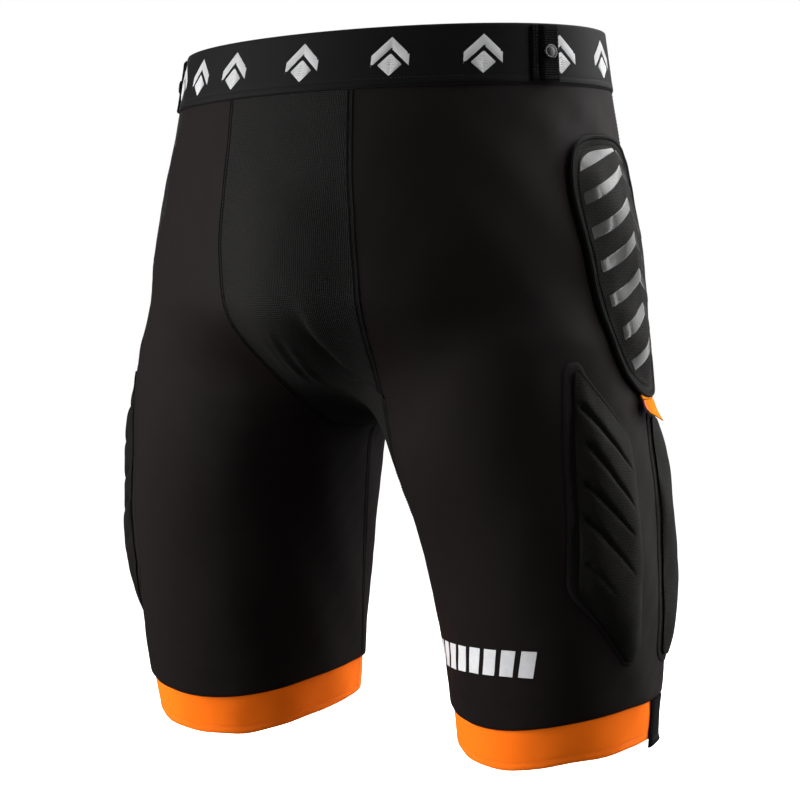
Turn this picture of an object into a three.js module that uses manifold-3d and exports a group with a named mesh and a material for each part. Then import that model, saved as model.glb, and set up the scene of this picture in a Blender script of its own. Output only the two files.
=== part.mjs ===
// Padded impact shorts: a tight stretch short with an elastic waistband, a mesh front panel,
// padded hips, thighs and tailbone, coloured hem bands, and small tabs that lift.
//
// Frame, in millimetres: +Z up, the front faces -Y, the wearer's left is +X.
// The origin is the centre of the waistband's top edge.
import * as THREE from "three";
import Module from "manifold-3d";
import { mergeVertices } from "three/addons/utils/BufferGeometryUtils.js";

const wasm = await Module();
wasm.setup();

// ---------- driving dimensions ----------
const GAP = 0.3; // clearance between pieces that touch
const FABRIC = 1.5; // leg and seat panels
const BAND_HEIGHT = 38;
const BAND_OUT = 1.0; // how far the waistband stands proud of the fabric
const BAND_THICKNESS = 2.5;
const WAIST_TILT = 0.03; // the waistband's rise from front to back, per mm
const CROTCH_CENTRE = { y: 2, z: -120 }; // the centre strip turns about this line
const SIDE_SEAM = 125; // degrees round from the front
const HEM_BAND_SHOWING = 27;
const HEM_BAND_HIDDEN = 15;
const HEM_INSET = FABRIC + 0.5; // the hem band lies inside the leg
const HEM_BAND_THICKNESS = 2;
const PAD_HEIGHT = { hip: 11.5, thigh: 9.5, tail: 10.5 };
const SNAP = { radius: 4.6, shaft: 1.1, hole: 1.5 };

// The trunk is an ellipse at each height.
const trunk = {
  height: [0, -60, -150, -260],
  halfWidth: [154, 161.4, 179, 178],
  halfDepth: [107, 122, 128.5, 126],
  centreY: [4.6, 3.5, -0.6, 4],
  closesFrom: -170,
  closesAt: -236.5,
};
// Each thigh is a turned ellipse at each height.
const thigh = {
  height: [-120, -240, -360, -500],
  centreX: [87, 103.5, 120.7, 123.2],
  centreY: [-0.6, -6.4, 4.7, 13.8],
  long: [93.9, 89.8, 84.3, 69.4],
  short: [81.9, 89.1, 75, 62.4],
  turn: THREE.MathUtils.degToRad(52),
  fadesFrom: -205,
  fadeEase: 60,
};
// How softly the trunk and thighs run into each other, at the crotch and at the hips.
const BLEND = { crotch: 39, hip: 14, from: 50, to: 140 };
const WAIST_AXIS_X = 60; // where the axis of each leg ends at the waist

// ---------- the body surface ----------
// A smooth curve through values at falling heights, flat beyond both ends.
function along(heights, values) {
  const slope = values.map((v, i) => {
    const a = Math.max(i - 1, 0);
    const b = Math.min(i + 1, values.length - 1);
    return (values[b] - values[a]) / (heights[b] - heights[a]);
  });
  return (z) => {
    const last = heights.length - 1;
    const h = Math.min(heights[0], Math.max(heights[last], z));
    let i = 0;
    while (i < last - 1 && h < heights[i + 1]) i++;
    const span = heights[i + 1] - heights[i];
    const t = (h - heights[i]) / span;
    return (
      (2 * t ** 3 - 3 * t ** 2 + 1) * values[i] +
      (t ** 3 - 2 * t ** 2 + t) * span * slope[i] +
      (3 * t ** 2 - 2 * t ** 3) * values[i + 1] +
      (t ** 3 - t ** 2) * span * slope[i + 1]
    );
  };
}

const trunkWidth = along(trunk.height, trunk.halfWidth);
const trunkDepth = along(trunk.height, trunk.halfDepth);
const trunkY = along(trunk.height, trunk.centreY);
const thighX = along(thigh.height, thigh.centreX);
const thighY = along(thigh.height, thigh.centreY);
const thighLong = along(thigh.height, thigh.long);
const thighShort = along(thigh.height, thigh.short);

const clamp = THREE.MathUtils.clamp;
const lerp = THREE.MathUtils.lerp;
const radians = THREE.MathUtils.degToRad;

function smoothMin(a, b, reach) {
  const h = clamp(0.5 + (0.5 * (b - a)) / reach, 0, 1);
  return lerp(b, a, h) - reach * h * (1 - h);
}

function trunkField(x, y, z) {
  const a = trunkWidth(z);
  const b = trunkDepth(z);
  const cap = trunk.closesFrom - trunk.closesAt;
  const drop = Math.max(0, (trunk.closesFrom - z) / cap);
  const size = lerp(Math.min(a, b), cap, Math.min(1, drop));
  return (Math.hypot(x / a, (y - trunkY(z)) / b, drop) - 1) * size;
}

function thighField(x, y, z) {
  const dx = x - thighX(z);
  const dy = y - thighY(z);
  const u = dx * Math.sin(thigh.turn) - dy * Math.cos(thigh.turn);
  const w = dx * Math.cos(thigh.turn) + dy * Math.sin(thigh.turn);
  const above = Math.max(0, z - thigh.fadesFrom);
  const fade = above ** 2 / (above + thigh.fadeEase);
  const size = Math.min(thighLong(z), thighShort(z));
  return (Math.hypot(u / thighLong(z), w / thighShort(z)) - 1) * size + fade;
}

// Below zero inside the body, above zero outside it, near enough a distance in mm.
function field(x, y, z) {
  const side = Math.abs(x);
  const share = THREE.MathUtils.smoothstep(side, BLEND.from, BLEND.to);
  const reach = lerp(BLEND.crotch, BLEND.hip, share);
  const near = smoothMin(trunkField(x, y, z), thighField(side, y, z), reach);
  return smoothMin(near, thighField(-side, y, z), reach);
}

// Where a ray from inside the body leaves it, looked for no further off than reach.
function castRay(origin, direction, reach = 260) {
  let low = 0;
  let high = reach;
  for (let i = 0; i < 30; i++) {
    const middle = (low + high) / 2;
    const p = direction.clone().multiplyScalar(middle).add(origin);
    if (field(p.x, p.y, p.z) < 0) low = middle;
    else high = middle;
  }
  return direction.clone().multiplyScalar(low).add(origin);
}

function normalAt(p) {
  const e = 0.5;
  return new THREE.Vector3(
    field(p.x + e, p.y, p.z) - field(p.x - e, p.y, p.z),
    field(p.x, p.y + e, p.z) - field(p.x, p.y - e, p.z),
    field(p.x, p.y, p.z + e) - field(p.x, p.y, p.z - e),
  ).normalize();
}

function raised(p, lift) {
  return normalAt(p).multiplyScalar(lift).add(p);
}

// The left leg's axis, which runs on up to the waist.
function axisAt(z) {
  const top = thigh.height[0];
  const x = z > top ? lerp(thighX(top), WAIST_AXIS_X, (z - top) / -top) : thighX(z);
  const y = z > top ? lerp(thighY(top), 0, (z - top) / -top) : thighY(z);
  return new THREE.Vector3(x, y, z);
}

// A point on the left half, phi radians round the leg's axis from the front towards the outside.
function onSurface(phi, z) {
  const axis = axisAt(z);
  const direction = new THREE.Vector3(Math.sin(phi), -Math.cos(phi), 0);
  const toMiddle = (axis.x - GAP / 2) / Math.max(1e-6, -direction.x);
  return castRay(axis, direction, Math.min(260, toMiddle));
}

function angleOf(p) {
  const c = axisAt(p.z);
  return Math.atan2(p.x - c.x, -(p.y - c.y));
}

function hemHeight(phi) {
  return -433.5 - 8.5 * Math.cos(phi) - 4.4 * Math.cos(2 * phi) + 2 * Math.sin(2 * phi);
}

const waistRise = (y) => WAIST_TILT * y;
const panelTop = (y) => -BAND_HEIGHT - GAP + waistRise(y);

// ---------- solids from grids of points ----------
function geometryFrom(points, triangles) {
  let volume = 0;
  for (const [a, b, c] of triangles)
    volume += points[a].dot(new THREE.Vector3().crossVectors(points[b], points[c]));
  const order = volume < 0 ? triangles.map(([a, b, c]) => [a, c, b]) : triangles;
  const geometry = new THREE.BufferGeometry();
  geometry.setFromPoints(points);
  geometry.setIndex(order.flat());
  geometry.computeVertexNormals();
  return geometry;
}

// A sheet between two equal grids of rows. A closed sheet joins each row's end to its start.
function sheet(outer, inner, closed = false) {
  const rows = outer.length;
  const columns = outer[0].length;
  const points = [...outer.flat(), ...inner.flat()];
  const at = (side, i, j) => side * rows * columns + i * columns + (j % columns);
  const triangles = [];
  const quad = (a, b, c, d) => triangles.push([a, b, c], [a, c, d]);
  const steps = closed ? columns : columns - 1;
  for (let i = 0; i < rows - 1; i++)
    for (let j = 0; j < steps; j++) {
      quad(at(0, i, j), at(0, i + 1, j), at(0, i + 1, j + 1), at(0, i, j + 1));
      quad(at(1, i, j), at(1, i, j + 1), at(1, i + 1, j + 1), at(1, i + 1, j));
    }
  for (let j = 0; j < steps; j++) {
    quad(at(0, 0, j), at(0, 0, j + 1), at(1, 0, j + 1), at(1, 0, j));
    quad(at(0, rows - 1, j), at(1, rows - 1, j), at(1, rows - 1, j + 1), at(0, rows - 1, j + 1));
  }
  if (!closed)
    for (let i = 0; i < rows - 1; i++) {
      const end = columns - 1;
      quad(at(0, i, 0), at(1, i, 0), at(1, i + 1, 0), at(0, i + 1, 0));
      quad(at(0, i, end), at(0, i + 1, end), at(1, i + 1, end), at(1, i, end));
    }
  return geometryFrom(points, triangles);
}

// A pad over a star-shaped outline: heights above the body for its top and its underside,
// each a function of rho, which is 0 at the middle and 1 on the outline.
function pad(place, outline, shares, top, underside) {
  const points = [];
  const triangles = [];
  const sides = outline.length;
  const rings = shares.length;
  const layers = [top, underside].map((lift) => {
    const start = points.length;
    points.push(place(0, 0, lift(0)));
    for (const rho of shares)
      for (const [s, t] of outline) points.push(place(s * rho, t * rho, lift(rho)));
    return start;
  });
  const at = (layer, ring, j) => layers[layer] + 1 + (ring - 1) * sides + (j % sides);
  for (let j = 0; j < sides; j++) {
    triangles.push([layers[0], at(0, 1, j), at(0, 1, j + 1)]);
    triangles.push([layers[1], at(1, 1, j + 1), at(1, 1, j)]);
    for (let ring = 1; ring < rings; ring++) {
      const [a, b] = [at(0, ring, j), at(0, ring + 1, j)];
      const [c, d] = [at(0, ring + 1, j + 1), at(0, ring, j + 1)];
      triangles.push([a, b, c], [a, c, d]);
      const [e, f] = [at(1, ring, j), at(1, ring + 1, j)];
      const [g, h] = [at(1, ring + 1, j + 1), at(1, ring, j + 1)];
      triangles.push([e, g, f], [e, h, g]);
    }
    const [a, b] = [at(0, rings, j), at(1, rings, j)];
    const [c, d] = [at(1, rings, j + 1), at(0, rings, j + 1)];
    triangles.push([a, b, c], [a, c, d]);
  }
  return geometryFrom(points, triangles);
}

// The outline moved outwards by a distance.
function grown(outline, distance) {
  const count = outline.length;
  const turn = outline.reduce((sum, [s, t], i) => {
    const [s2, t2] = outline[(i + 1) % count];
    return sum + s * t2 - s2 * t;
  }, 0);
  return outline.map(([s, t], i) => {
    const [s0, t0] = outline[(i + count - 1) % count];
    const [s1, t1] = outline[(i + 1) % count];
    const length = Math.hypot(s1 - s0, t1 - t0) * Math.sign(turn);
    return [s + (distance * (t1 - t0)) / length, t - (distance * (s1 - s0)) / length];
  });
}

// The flat border round a pad, between two distances from its outline.
function border(place, outline, from, to, low, high) {
  const ring = (distance, lift) => grown(outline, distance).map(([s, t]) => place(s, t, lift));
  return sheet([ring(from, high), ring(to, high)], [ring(from, low), ring(to, low)], true);
}

function subtract(geometry, cutters) {
  let solid = toSolid(geometry);
  for (const cutter of cutters) solid = solid.subtract(toSolid(cutter));
  const mesh = solid.getMesh();
  const made = new THREE.BufferGeometry();
  made.setAttribute("position", new THREE.BufferAttribute(new Float32Array(mesh.vertProperties), 3));
  made.setIndex([...mesh.triVerts]);
  made.computeVertexNormals();
  return made;
}

function toSolid(geometry) {
  const bare = geometry.clone();
  bare.deleteAttribute("normal");
  bare.deleteAttribute("uv");
  const merged = mergeVertices(bare, 1e-3);
  return new wasm.Manifold(
    new wasm.Mesh({
      numProp: 3,
      vertProperties: merged.attributes.position.array,
      triVerts: new Uint32Array(merged.index.array),
    }),
  );
}

// The same geometry on the wearer's other side.
function mirrored(geometry) {
  const copy = geometry.clone().applyMatrix4(new THREE.Matrix4().makeScale(-1, 1, 1));
  const index = copy.index.array;
  for (let i = 0; i < index.length; i += 3) [index[i + 1], index[i + 2]] = [index[i + 2], index[i + 1]];
  copy.computeVertexNormals();
  return copy;
}

// ---------- materials ----------
const finish = (color, roughness, metalness = 0) =>
  new THREE.MeshStandardMaterial({ color, roughness, metalness });
const stretchFabric = finish(0x1d1a1a, 0.75);
const meshFabric = finish(0x1a1a19, 0.9);
const elastic = finish(0x121112, 0.85);
const orangeFabric = finish(0xf77a14, 0.7);
const silicone = finish(0xd8d8d4, 0.35);
const padFabric = finish(0x151414, 0.9);
const foam = finish(0x3a3b3d, 0.95);
const glossFilm = finish(0x2c2b28, 0.25);
const ribbedTape = finish(0x141413, 0.85);
const blackMetal = finish(0x1b1b1c, 0.35, 0.8);

const shorts = new THREE.Group();

function addPiece(name, geometry, material) {
  const mesh = new THREE.Mesh(geometry, material);
  mesh.name = name;
  shorts.add(mesh);
}

function addPair(name, geometry, material) {
  addPiece(`${name}_left`, geometry, material);
  addPiece(`${name}_right`, mirrored(geometry), material);
}

// ---------- waistband ----------
// A point on the waist, tau radians round from the front, at a height and a lift off the fabric.
function onWaist(tau, z, lift) {
  const x = (trunkWidth(z) + lift) * Math.sin(tau);
  const y = trunkY(z) - (trunkDepth(z) + lift) * Math.cos(tau);
  return new THREE.Vector3(x, y, z + waistRise(y));
}

function waistband() {
  const steps = 52;
  const turns = Array.from({ length: steps }, (_, j) => (j / steps) * 2 * Math.PI);
  const ring = (z, lift) => turns.map((tau) => onWaist(tau, z, lift));
  const levels = [0, -BAND_HEIGHT / 2, -BAND_HEIGHT];
  return sheet(
    levels.map((z) => ring(z, BAND_OUT)),
    levels.map((z) => ring(z, BAND_OUT - BAND_THICKNESS)),
    true,
  );
}

// ---------- centre strip: mesh panel in front, seat panel behind ----------
// Along the strip, 0 is the waist in front, 1 the height of the turning line, 2 the crotch,
// 3 the turning line's height behind, and 4 the waist behind.
const stripWidth = along([4, 3.2, 2.5, 2, 1.5, 0.9, 0], [62, 60, 34, 13, 40, 61, 55]);
const POUCH = { at: 1.15, reach: 0.45, rise: 9 };

function onStrip(x, t) {
  const vertical = t < 1 || t > 3;
  const side = t < 2 ? -1 : 1;
  if (vertical) {
    const down = t < 1 ? t : 4 - t;
    const top = panelTop(side * trunkDepth(-BAND_HEIGHT));
    const z = lerp(top, CROTCH_CENTRE.z, down);
    return castRay(new THREE.Vector3(x, CROTCH_CENTRE.y, z), new THREE.Vector3(0, side, 0));
  }
  const psi = ((t - 1) * Math.PI) / 2;
  const direction = new THREE.Vector3(0, -Math.cos(psi), -Math.sin(psi));
  return castRay(new THREE.Vector3(x, CROTCH_CENTRE.y, CROTCH_CENTRE.z), direction);
}

function pouchLift(v, t) {
  return POUCH.rise * Math.exp(-(((t - POUCH.at) / POUCH.reach) ** 2)) * (1 - v * v) ** 2;
}

function stripPanel(from, to) {
  const rows = UPPER_ROWS;
  const columns = 8;
  const grid = (lift) =>
    Array.from({ length: rows + 1 }, (_, i) => {
      const t = lerp(from, to, i / rows);
      return Array.from({ length: columns + 1 }, (_, j) => {
        const v = (2 * j) / columns - 1;
        const p = onStrip(v * (stripWidth(t) - GAP / 2), t);
        return raised(p, lift + pouchLift(v, t));
      });
    });
  return sheet(grid(0), grid(-FABRIC));
}

// ---------- leg panels ----------
const UPPER_ROWS = 12;
const LOWER_ROWS = 6;
const FRONT_COLUMNS = 17;
const REAR_COLUMNS = 9;
const CROTCH_Z = -236; // the side seam's height level with the crotch
const SEAM_GAP = radians(0.1); // half the clearance at the side seam and the inseam
const INSEAM = { bottom: -113 }; // degrees round the leg

// The strip's edge as an angle and a height on the left half.
function stripEdge(t) {
  const p = onStrip(stripWidth(t) + GAP / 2, t);
  return { phi: angleOf(p), z: p.z };
}

// The angles of the panel's columns at the hem: the front panel, then the rear one.
function hemAngles(columns, rear) {
  const inseam = rear ? radians(INSEAM.bottom) + 2 * Math.PI - SEAM_GAP : radians(INSEAM.bottom) + SEAM_GAP;
  const seam = radians(SIDE_SEAM) + (rear ? SEAM_GAP : -SEAM_GAP);
  return Array.from({ length: columns + 1 }, (_, j) => lerp(inseam, seam, j / columns));
}

// A panel from the strip and the inseam round to the side seam. Rows fan out from the crotch.
function legPanel(columns, edgeAt, rear) {
  const turns = rear ? 2 * Math.PI : 0;
  const hem = hemAngles(columns, rear);
  const seam = hem[columns];
  const places = [];
  for (let i = 0; i <= UPPER_ROWS; i++) {
    const share = i / UPPER_ROWS;
    const edge = edgeAt(share);
    const row = [];
    for (let j = 0; j <= columns; j++) {
      const u = j / columns;
      const phi = lerp(edge.phi + turns, seam, u);
      let z = lerp(edge.z, lerp(panelTop(0), CROTCH_Z, share), u);
      if (i === 0) z = panelTop(onSurface(phi, z).y);
      row.push({ phi, z });
    }
    places.push(row);
  }
  const above = places[UPPER_ROWS];
  for (let i = 1; i <= LOWER_ROWS; i++) {
    const share = i / LOWER_ROWS;
    places.push(
      above.map((start, j) => {
        const phi = lerp(start.phi, hem[j], share);
        return { phi, z: lerp(start.z, hemHeight(phi), share) };
      }),
    );
  }
  const grid = (lift) => places.map((row) => row.map(({ phi, z }) => raised(onSurface(phi, z), lift)));
  return sheet(grid(0), grid(-FABRIC));
}

// ---------- hem bands ----------
function hemRing(phi, drop, lift) {
  return raised(onSurface(phi, hemHeight(phi) - drop), lift);
}

// The tube's corners stand under the corners of the leg panels.
function hemTube(top, bottom, lift, thickness) {
  const front = hemAngles(FRONT_COLUMNS, false);
  const rear = hemAngles(REAR_COLUMNS, true).reverse();
  const turns = [...front, ...rear.slice(1, -1)];
  const ring = (drop, away) => turns.map((phi) => hemRing(phi, drop, away));
  const levels = [top, (top + bottom) / 2, bottom];
  return sheet(
    levels.map((drop) => ring(drop, lift)),
    levels.map((drop) => ring(drop, lift - thickness)),
    true,
  );
}

// ---------- pads ----------
// Local millimetres on the left half: s runs back round the leg, t runs up.
function placer(degrees, z0) {
  const phi0 = radians(degrees);
  return (s, t, lift) => {
    const z = z0 + t;
    const centre = axisAt(z);
    const radius = onSurface(phi0, z).distanceTo(centre);
    return raised(onSurface(phi0 + s / radius, z), lift);
  };
}

// A leaning oval, a little drawn in towards its foot.
function ovalOutline(halfWidth, halfHeight, lean, count) {
  return Array.from({ length: count }, (_, i) => {
    const angle = (i / count) * 2 * Math.PI;
    const t = halfHeight * Math.cos(angle);
    const drawIn = Math.abs(Math.sin(angle)) ** (Math.cos(angle) > 0 ? 0 : 0.12);
    return [halfWidth * Math.sin(angle) * drawIn + lean * t, t];
  });
}

// A smooth closed curve through points, cut into even steps.
function smoothOutline(points, count) {
  const curve = new THREE.CatmullRomCurve3(points.map(([s, t]) => new THREE.Vector3(s, t, 0)), true);
  return curve.getSpacedPoints(count).slice(0, count).map((p) => [p.x, p.y]);
}

// A polygon with rounded corners, its points about a step apart.
function roundedOutline(corners, radius, step) {
  const shape = new THREE.Shape();
  const count = corners.length;
  const toward = (a, b, distance) => a.clone().add(b.clone().sub(a).setLength(distance));
  const points = corners.map(([s, t]) => new THREE.Vector2(s, t));
  points.forEach((corner, i) => {
    const before = toward(corner, points[(i + count - 1) % count], radius);
    const after = toward(corner, points[(i + 1) % count], radius);
    if (i === 0) shape.moveTo(before.x, before.y);
    else shape.lineTo(before.x, before.y);
    shape.quadraticCurveTo(corner.x, corner.y, after.x, after.y);
  });
  shape.closePath();
  const sides = Math.ceil(shape.getLength() / step);
  return shape.getSpacedPoints(sides).slice(0, sides).map((p) => [p.x, p.y]);
}

// A dome that rises steeply from its edge and is nearly flat on top.
const dome = (edge, height, steepness) => (rho) => edge + (height - edge) * (1 - rho ** steepness);
const PAD_CLEARANCE = 0.9; // from the smooth body surface, which the faceted fabric lies just inside

const FOAM_CLEARANCE = 1.5;
const PIPING = { radius: 1.5, lift: 2.3 };
// Points round the hip pad's edge, from its top forwards.
const HIP_EDGE = [
  [-16, 81.5],
  [-28, 79.5],
  [-37, 74.5],
  [-42.5, 64],
  [-45.2, 50],
  [-45.5, 36],
  [-43.5, 20],
  [-39.5, 3],
  [-35.5, -15],
  [-32, -33],
  [-28, -51],
  [-20.5, -66],
  [-9, -75.5],
  [4, -79.3],
  [18, -76],
  [29, -65],
  [36, -48],
  [40.5, -26],
  [43, -2],
  [43.5, 22],
  [40, 45],
  [31, 64],
  [16, 76.5],
  [0, 81.3],
];

function hipPad() {
  const place = placer(96, -155);
  const outline = smoothOutline(HIP_EDGE, 26);
  const coverTop = dome(3, PAD_HEIGHT.hip, 2.6);
  const foamTop = (rho) => coverTop(rho) - 1.8;
  const rings = [0.4, 0.66, 0.84, 0.93, 1];
  const foamRings = rings.slice(0, 3);
  const underCover = (rho) => (rho > 0.9 ? PAD_CLEARANCE : foamTop(rho) + GAP);
  addPair("hip_pad_foam", pad(place, outline, foamRings, foamTop, () => FOAM_CLEARANCE), foam);
  addPair("hip_pad_cover", pad(place, outline, rings, coverTop, underCover), padFabric);
  const filmUnder = (rho) => coverTop(rho) + GAP;
  const film = pad(place, outline, foamRings, (rho) => filmUnder(rho) + 0.6, filmUnder);
  addPair("hip_pad_grip_film", film, glossFilm);
  const cord = grown(outline, PIPING.radius + GAP).map(([s, t]) => place(s, t, PIPING.lift));
  const curve = new THREE.CatmullRomCurve3(cord, true);
  const tube = new THREE.TubeGeometry(curve, 48, PIPING.radius, 5, true);
  addPair("hip_pad_piping", tube, ribbedTape);
}
// Corner points of each thigh pad, in its local millimetres.
const FRONT_THIGH = [
  [-11, 93],
  [28.5, 43],
  [16.5, -35],
  [12.5, -84],
  [4, -93.5],
  [-29, -45],
];
const REAR_THIGH = [
  [-42, 78],
  [30, 52],
  [30, -50],
  [-26, -78],
  [-43, -76],
];

function thighPad(name, degrees, z, corners) {
  const place = placer(degrees, z);
  const outline = roundedOutline(corners, 7, 15);
  const rings = [0.5, 0.82, 1];
  const top = dome(2.8, PAD_HEIGHT.thigh, 5);
  addPair(`${name}_pad`, pad(place, outline, rings, top, () => PAD_CLEARANCE), padFabric);
  const edge = border(place, outline, GAP, 6, PAD_CLEARANCE, PAD_CLEARANCE + 1.1);
  addPair(`${name}_pad_border`, edge, ribbedTape);
}

// The tailbone pad sits on the middle of the seat, so it is built across the centre.
function tailPad() {
  const seat = (s, t, lift) => {
    const p = castRay(new THREE.Vector3(s, 0, -118 + t), new THREE.Vector3(0, 1, 0));
    return raised(p, lift);
  };
  const outline = ovalOutline(44, 58, 0, 24);
  const rings = [0.5, 0.82, 1];
  const top = dome(2.8, PAD_HEIGHT.tail, 4);
  addPiece("tailbone_pad", pad(seat, outline, rings, top, () => PAD_CLEARANCE), padFabric);
  const edge = border(seat, outline, GAP, 6, PAD_CLEARANCE, PAD_CLEARANCE + 1.1);
  addPiece("tailbone_pad_border", edge, ribbedTape);
}

// ---------- waist tabs with press studs ----------
const TAB = { start: 63.2, sewn: 2.2, sweep: 5.9, height: 36, thickness: 1.4 };
const STUD_TURN = TAB.start + TAB.sewn + 3.4;

// A frame on the waistband: its outward direction becomes the geometry's +Y.
function studFrame(degrees, lift) {
  const tau = radians(degrees);
  const z = -BAND_HEIGHT / 2;
  const p = onWaist(tau, z, BAND_OUT);
  const back = onWaist(tau + 0.01, z, BAND_OUT).sub(onWaist(tau - 0.01, z, BAND_OUT)).normalize();
  const up = onWaist(tau, z + 5, BAND_OUT).sub(onWaist(tau, z - 5, BAND_OUT)).normalize();
  const out = new THREE.Vector3().crossVectors(back, up).normalize();
  const across = new THREE.Vector3().crossVectors(out, up);
  const matrix = new THREE.Matrix4().makeBasis(across, out, up);
  return matrix.setPosition(p.addScaledVector(out, lift - BAND_OUT));
}

function turned(profile, degrees, lift) {
  const points = profile.map(([r, h]) => new THREE.Vector2(r, h));
  return new THREE.LatheGeometry(points, 12).applyMatrix4(studFrame(degrees, lift));
}

function tabSheet(from, to, liftAt, thickness) {
  const columns = 6;
  const half = TAB.height / 2;
  const grid = (extra) =>
    [half, 0, -half].map((dz) =>
      Array.from({ length: columns + 1 }, (_, j) => {
        const share = j / columns;
        const tau = radians(lerp(from, to, share));
        return onWaist(tau, -BAND_HEIGHT / 2 + dz, liftAt(share) + extra);
      }),
    );
  return sheet(grid(thickness), grid(0));
}

const STUD_HEIGHT = 1.2;
const TAB_LIFT = { hinge: BAND_OUT + 0.8, free: BAND_OUT + GAP + STUD_HEIGHT + 0.5 };
const tabLift = (share) => lerp(TAB_LIFT.hinge, TAB_LIFT.free, Math.min(1, share * 6));

function snapHole(lift, depth) {
  const cylinder = new THREE.CylinderGeometry(SNAP.hole, SNAP.hole, depth, 12);
  return cylinder.applyMatrix4(studFrame(STUD_TURN, lift));
}

function waistTab() {
  const from = TAB.start + TAB.sewn + 0.35;
  const to = from + TAB.sweep;
  const anchor = tabSheet(TAB.start, TAB.start + TAB.sewn, () => BAND_OUT + GAP, TAB.thickness);
  addPair("waist_tab_anchor", anchor, ribbedTape);
  const flap = subtract(tabSheet(from, to, tabLift, TAB.thickness), [snapHole(TAB_LIFT.free, 8)]);
  addPair("waist_tab", flap, ribbedTape);

  const { radius, shaft } = SNAP;
  const base = BAND_OUT + GAP;
  const top = TAB_LIFT.free + TAB.thickness + GAP;
  const cap = [
    [0, -TAB.thickness - GAP],
    [shaft, -TAB.thickness - GAP],
    [shaft, 0],
    [radius, 0],
    [radius, 0.6],
    [radius * 0.7, 1.1],
    [0, 1.1],
  ];
  const socket = [
    [2.2, 0],
    [radius - 0.3, 0],
    [radius - 0.3, STUD_HEIGHT - 0.1],
    [2.2, STUD_HEIGHT - 0.1],
    [2.2, 0],
  ];
  const stud = [
    [0, 0],
    [1.6, 0],
    [1.8, STUD_HEIGHT * 0.6],
    [1.3, STUD_HEIGHT - 0.1],
    [0, STUD_HEIGHT - 0.1],
  ];
  const post = [
    [0, -0.8],
    [radius, -0.8],
    [radius, 0],
    [shaft, 0],
    [shaft, BAND_THICKNESS],
    [0, BAND_THICKNESS],
  ];
  addPair("tab_snap_cap", turned(cap, STUD_TURN, top), blackMetal);
  addPair("tab_snap_socket", turned(socket, STUD_TURN, base + 0.1), blackMetal);
  addPair("waist_snap_stud", turned(stud, STUD_TURN, base), blackMetal);
  addPair("waist_snap_post", turned(post, STUD_TURN, BAND_OUT - BAND_THICKNESS - 2 * GAP), blackMetal);
}

// ---------- hem pull tabs and pad labels ----------
const HEM_TAB = { turn: 97, width: 27, drop: 0.5, length: 31.5, thickness: 1.8 };

const HEM_RADIUS = 75;

function hemTab() {
  const { turn, width, drop, length, thickness } = HEM_TAB;
  const sweep = width / HEM_RADIUS;
  const levels = [0, 0.5, 1].map((share) => drop + share * length);
  const grid = (lift) =>
    levels.map((down) =>
      Array.from({ length: 5 }, (_, j) => hemRing(radians(turn) + sweep * (j / 4 - 0.5), down, lift)),
    );
  const underside = GAP - HEM_INSET;
  return sheet(grid(underside + thickness), grid(underside));
}

const LABEL = { turn: 97, z: -238.6, lift: 2.8, width: 18, length: 15, thickness: 1, tilt: 27 };

function padLabel() {
  const { turn, z, lift, width, length, thickness, tilt } = LABEL;
  const root = raised(onSurface(radians(turn), z), lift);
  const out = new THREE.Vector3(Math.sin(radians(turn)), -Math.cos(radians(turn)), 0);
  const across = new THREE.Vector3(-out.y, out.x, 0);
  const hang = out.clone().multiplyScalar(Math.sin(radians(tilt)));
  hang.z = -Math.cos(radians(tilt));
  const face = new THREE.Vector3().crossVectors(hang, across);
  const matrix = new THREE.Matrix4().makeBasis(across, face, hang).setPosition(root);
  const plate = new THREE.BoxGeometry(width, thickness, length);
  return plate.translate(0, 0, length / 2).applyMatrix4(matrix);
}

// ---------- the assembly ----------
addPiece("waistband", subtract(waistband(), [snapHole(0, 12), mirrored(snapHole(0, 12))]), elastic);
addPiece("front_mesh_panel", stripPanel(0, 2), meshFabric);
addPiece("seat_panel", stripPanel(4, 2), stretchFabric);
addPair("front_leg_panel", legPanel(FRONT_COLUMNS, (share) => stripEdge(2 * share), 0), stretchFabric);
addPair("rear_leg_panel", legPanel(REAR_COLUMNS, (share) => stripEdge(4 - 2 * share), 1), stretchFabric);
const hemBand = hemTube(-HEM_BAND_HIDDEN, HEM_BAND_SHOWING, -HEM_INSET, HEM_BAND_THICKNESS);
addPair("hem_band", hemBand, orangeFabric);
addPair("hem_gripper", hemTube(8, 18, -HEM_INSET - HEM_BAND_THICKNESS - GAP, 0.7), silicone);
hipPad();
thighPad("front_thigh", 63, -310, FRONT_THIGH);
thighPad("rear_thigh", 128, -325, REAR_THIGH);
tailPad();
waistTab();
addPair("hem_pull_tab", hemTab(), ribbedTape);
addPair("pad_label", padLabel(), orangeFabric);

export default shorts;
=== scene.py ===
import math

import bpy
import numpy as np
from mathutils import Matrix, Vector
from mathutils.bvhtree import BVHTree


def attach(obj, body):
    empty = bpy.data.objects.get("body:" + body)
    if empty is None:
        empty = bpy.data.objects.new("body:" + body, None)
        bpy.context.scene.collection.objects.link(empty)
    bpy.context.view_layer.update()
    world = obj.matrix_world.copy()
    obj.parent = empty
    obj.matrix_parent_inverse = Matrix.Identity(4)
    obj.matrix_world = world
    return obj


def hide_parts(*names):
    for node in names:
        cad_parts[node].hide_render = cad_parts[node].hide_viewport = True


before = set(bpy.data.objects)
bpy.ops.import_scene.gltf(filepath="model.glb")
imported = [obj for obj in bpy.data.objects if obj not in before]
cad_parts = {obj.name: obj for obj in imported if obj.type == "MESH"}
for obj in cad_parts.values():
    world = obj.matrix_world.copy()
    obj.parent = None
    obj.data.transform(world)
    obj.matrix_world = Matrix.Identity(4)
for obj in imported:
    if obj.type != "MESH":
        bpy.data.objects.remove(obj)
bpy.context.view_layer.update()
rng = np.random.default_rng(11)
MM = 0.001
SIDES = (("left", 1), ("right", -1))


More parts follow.
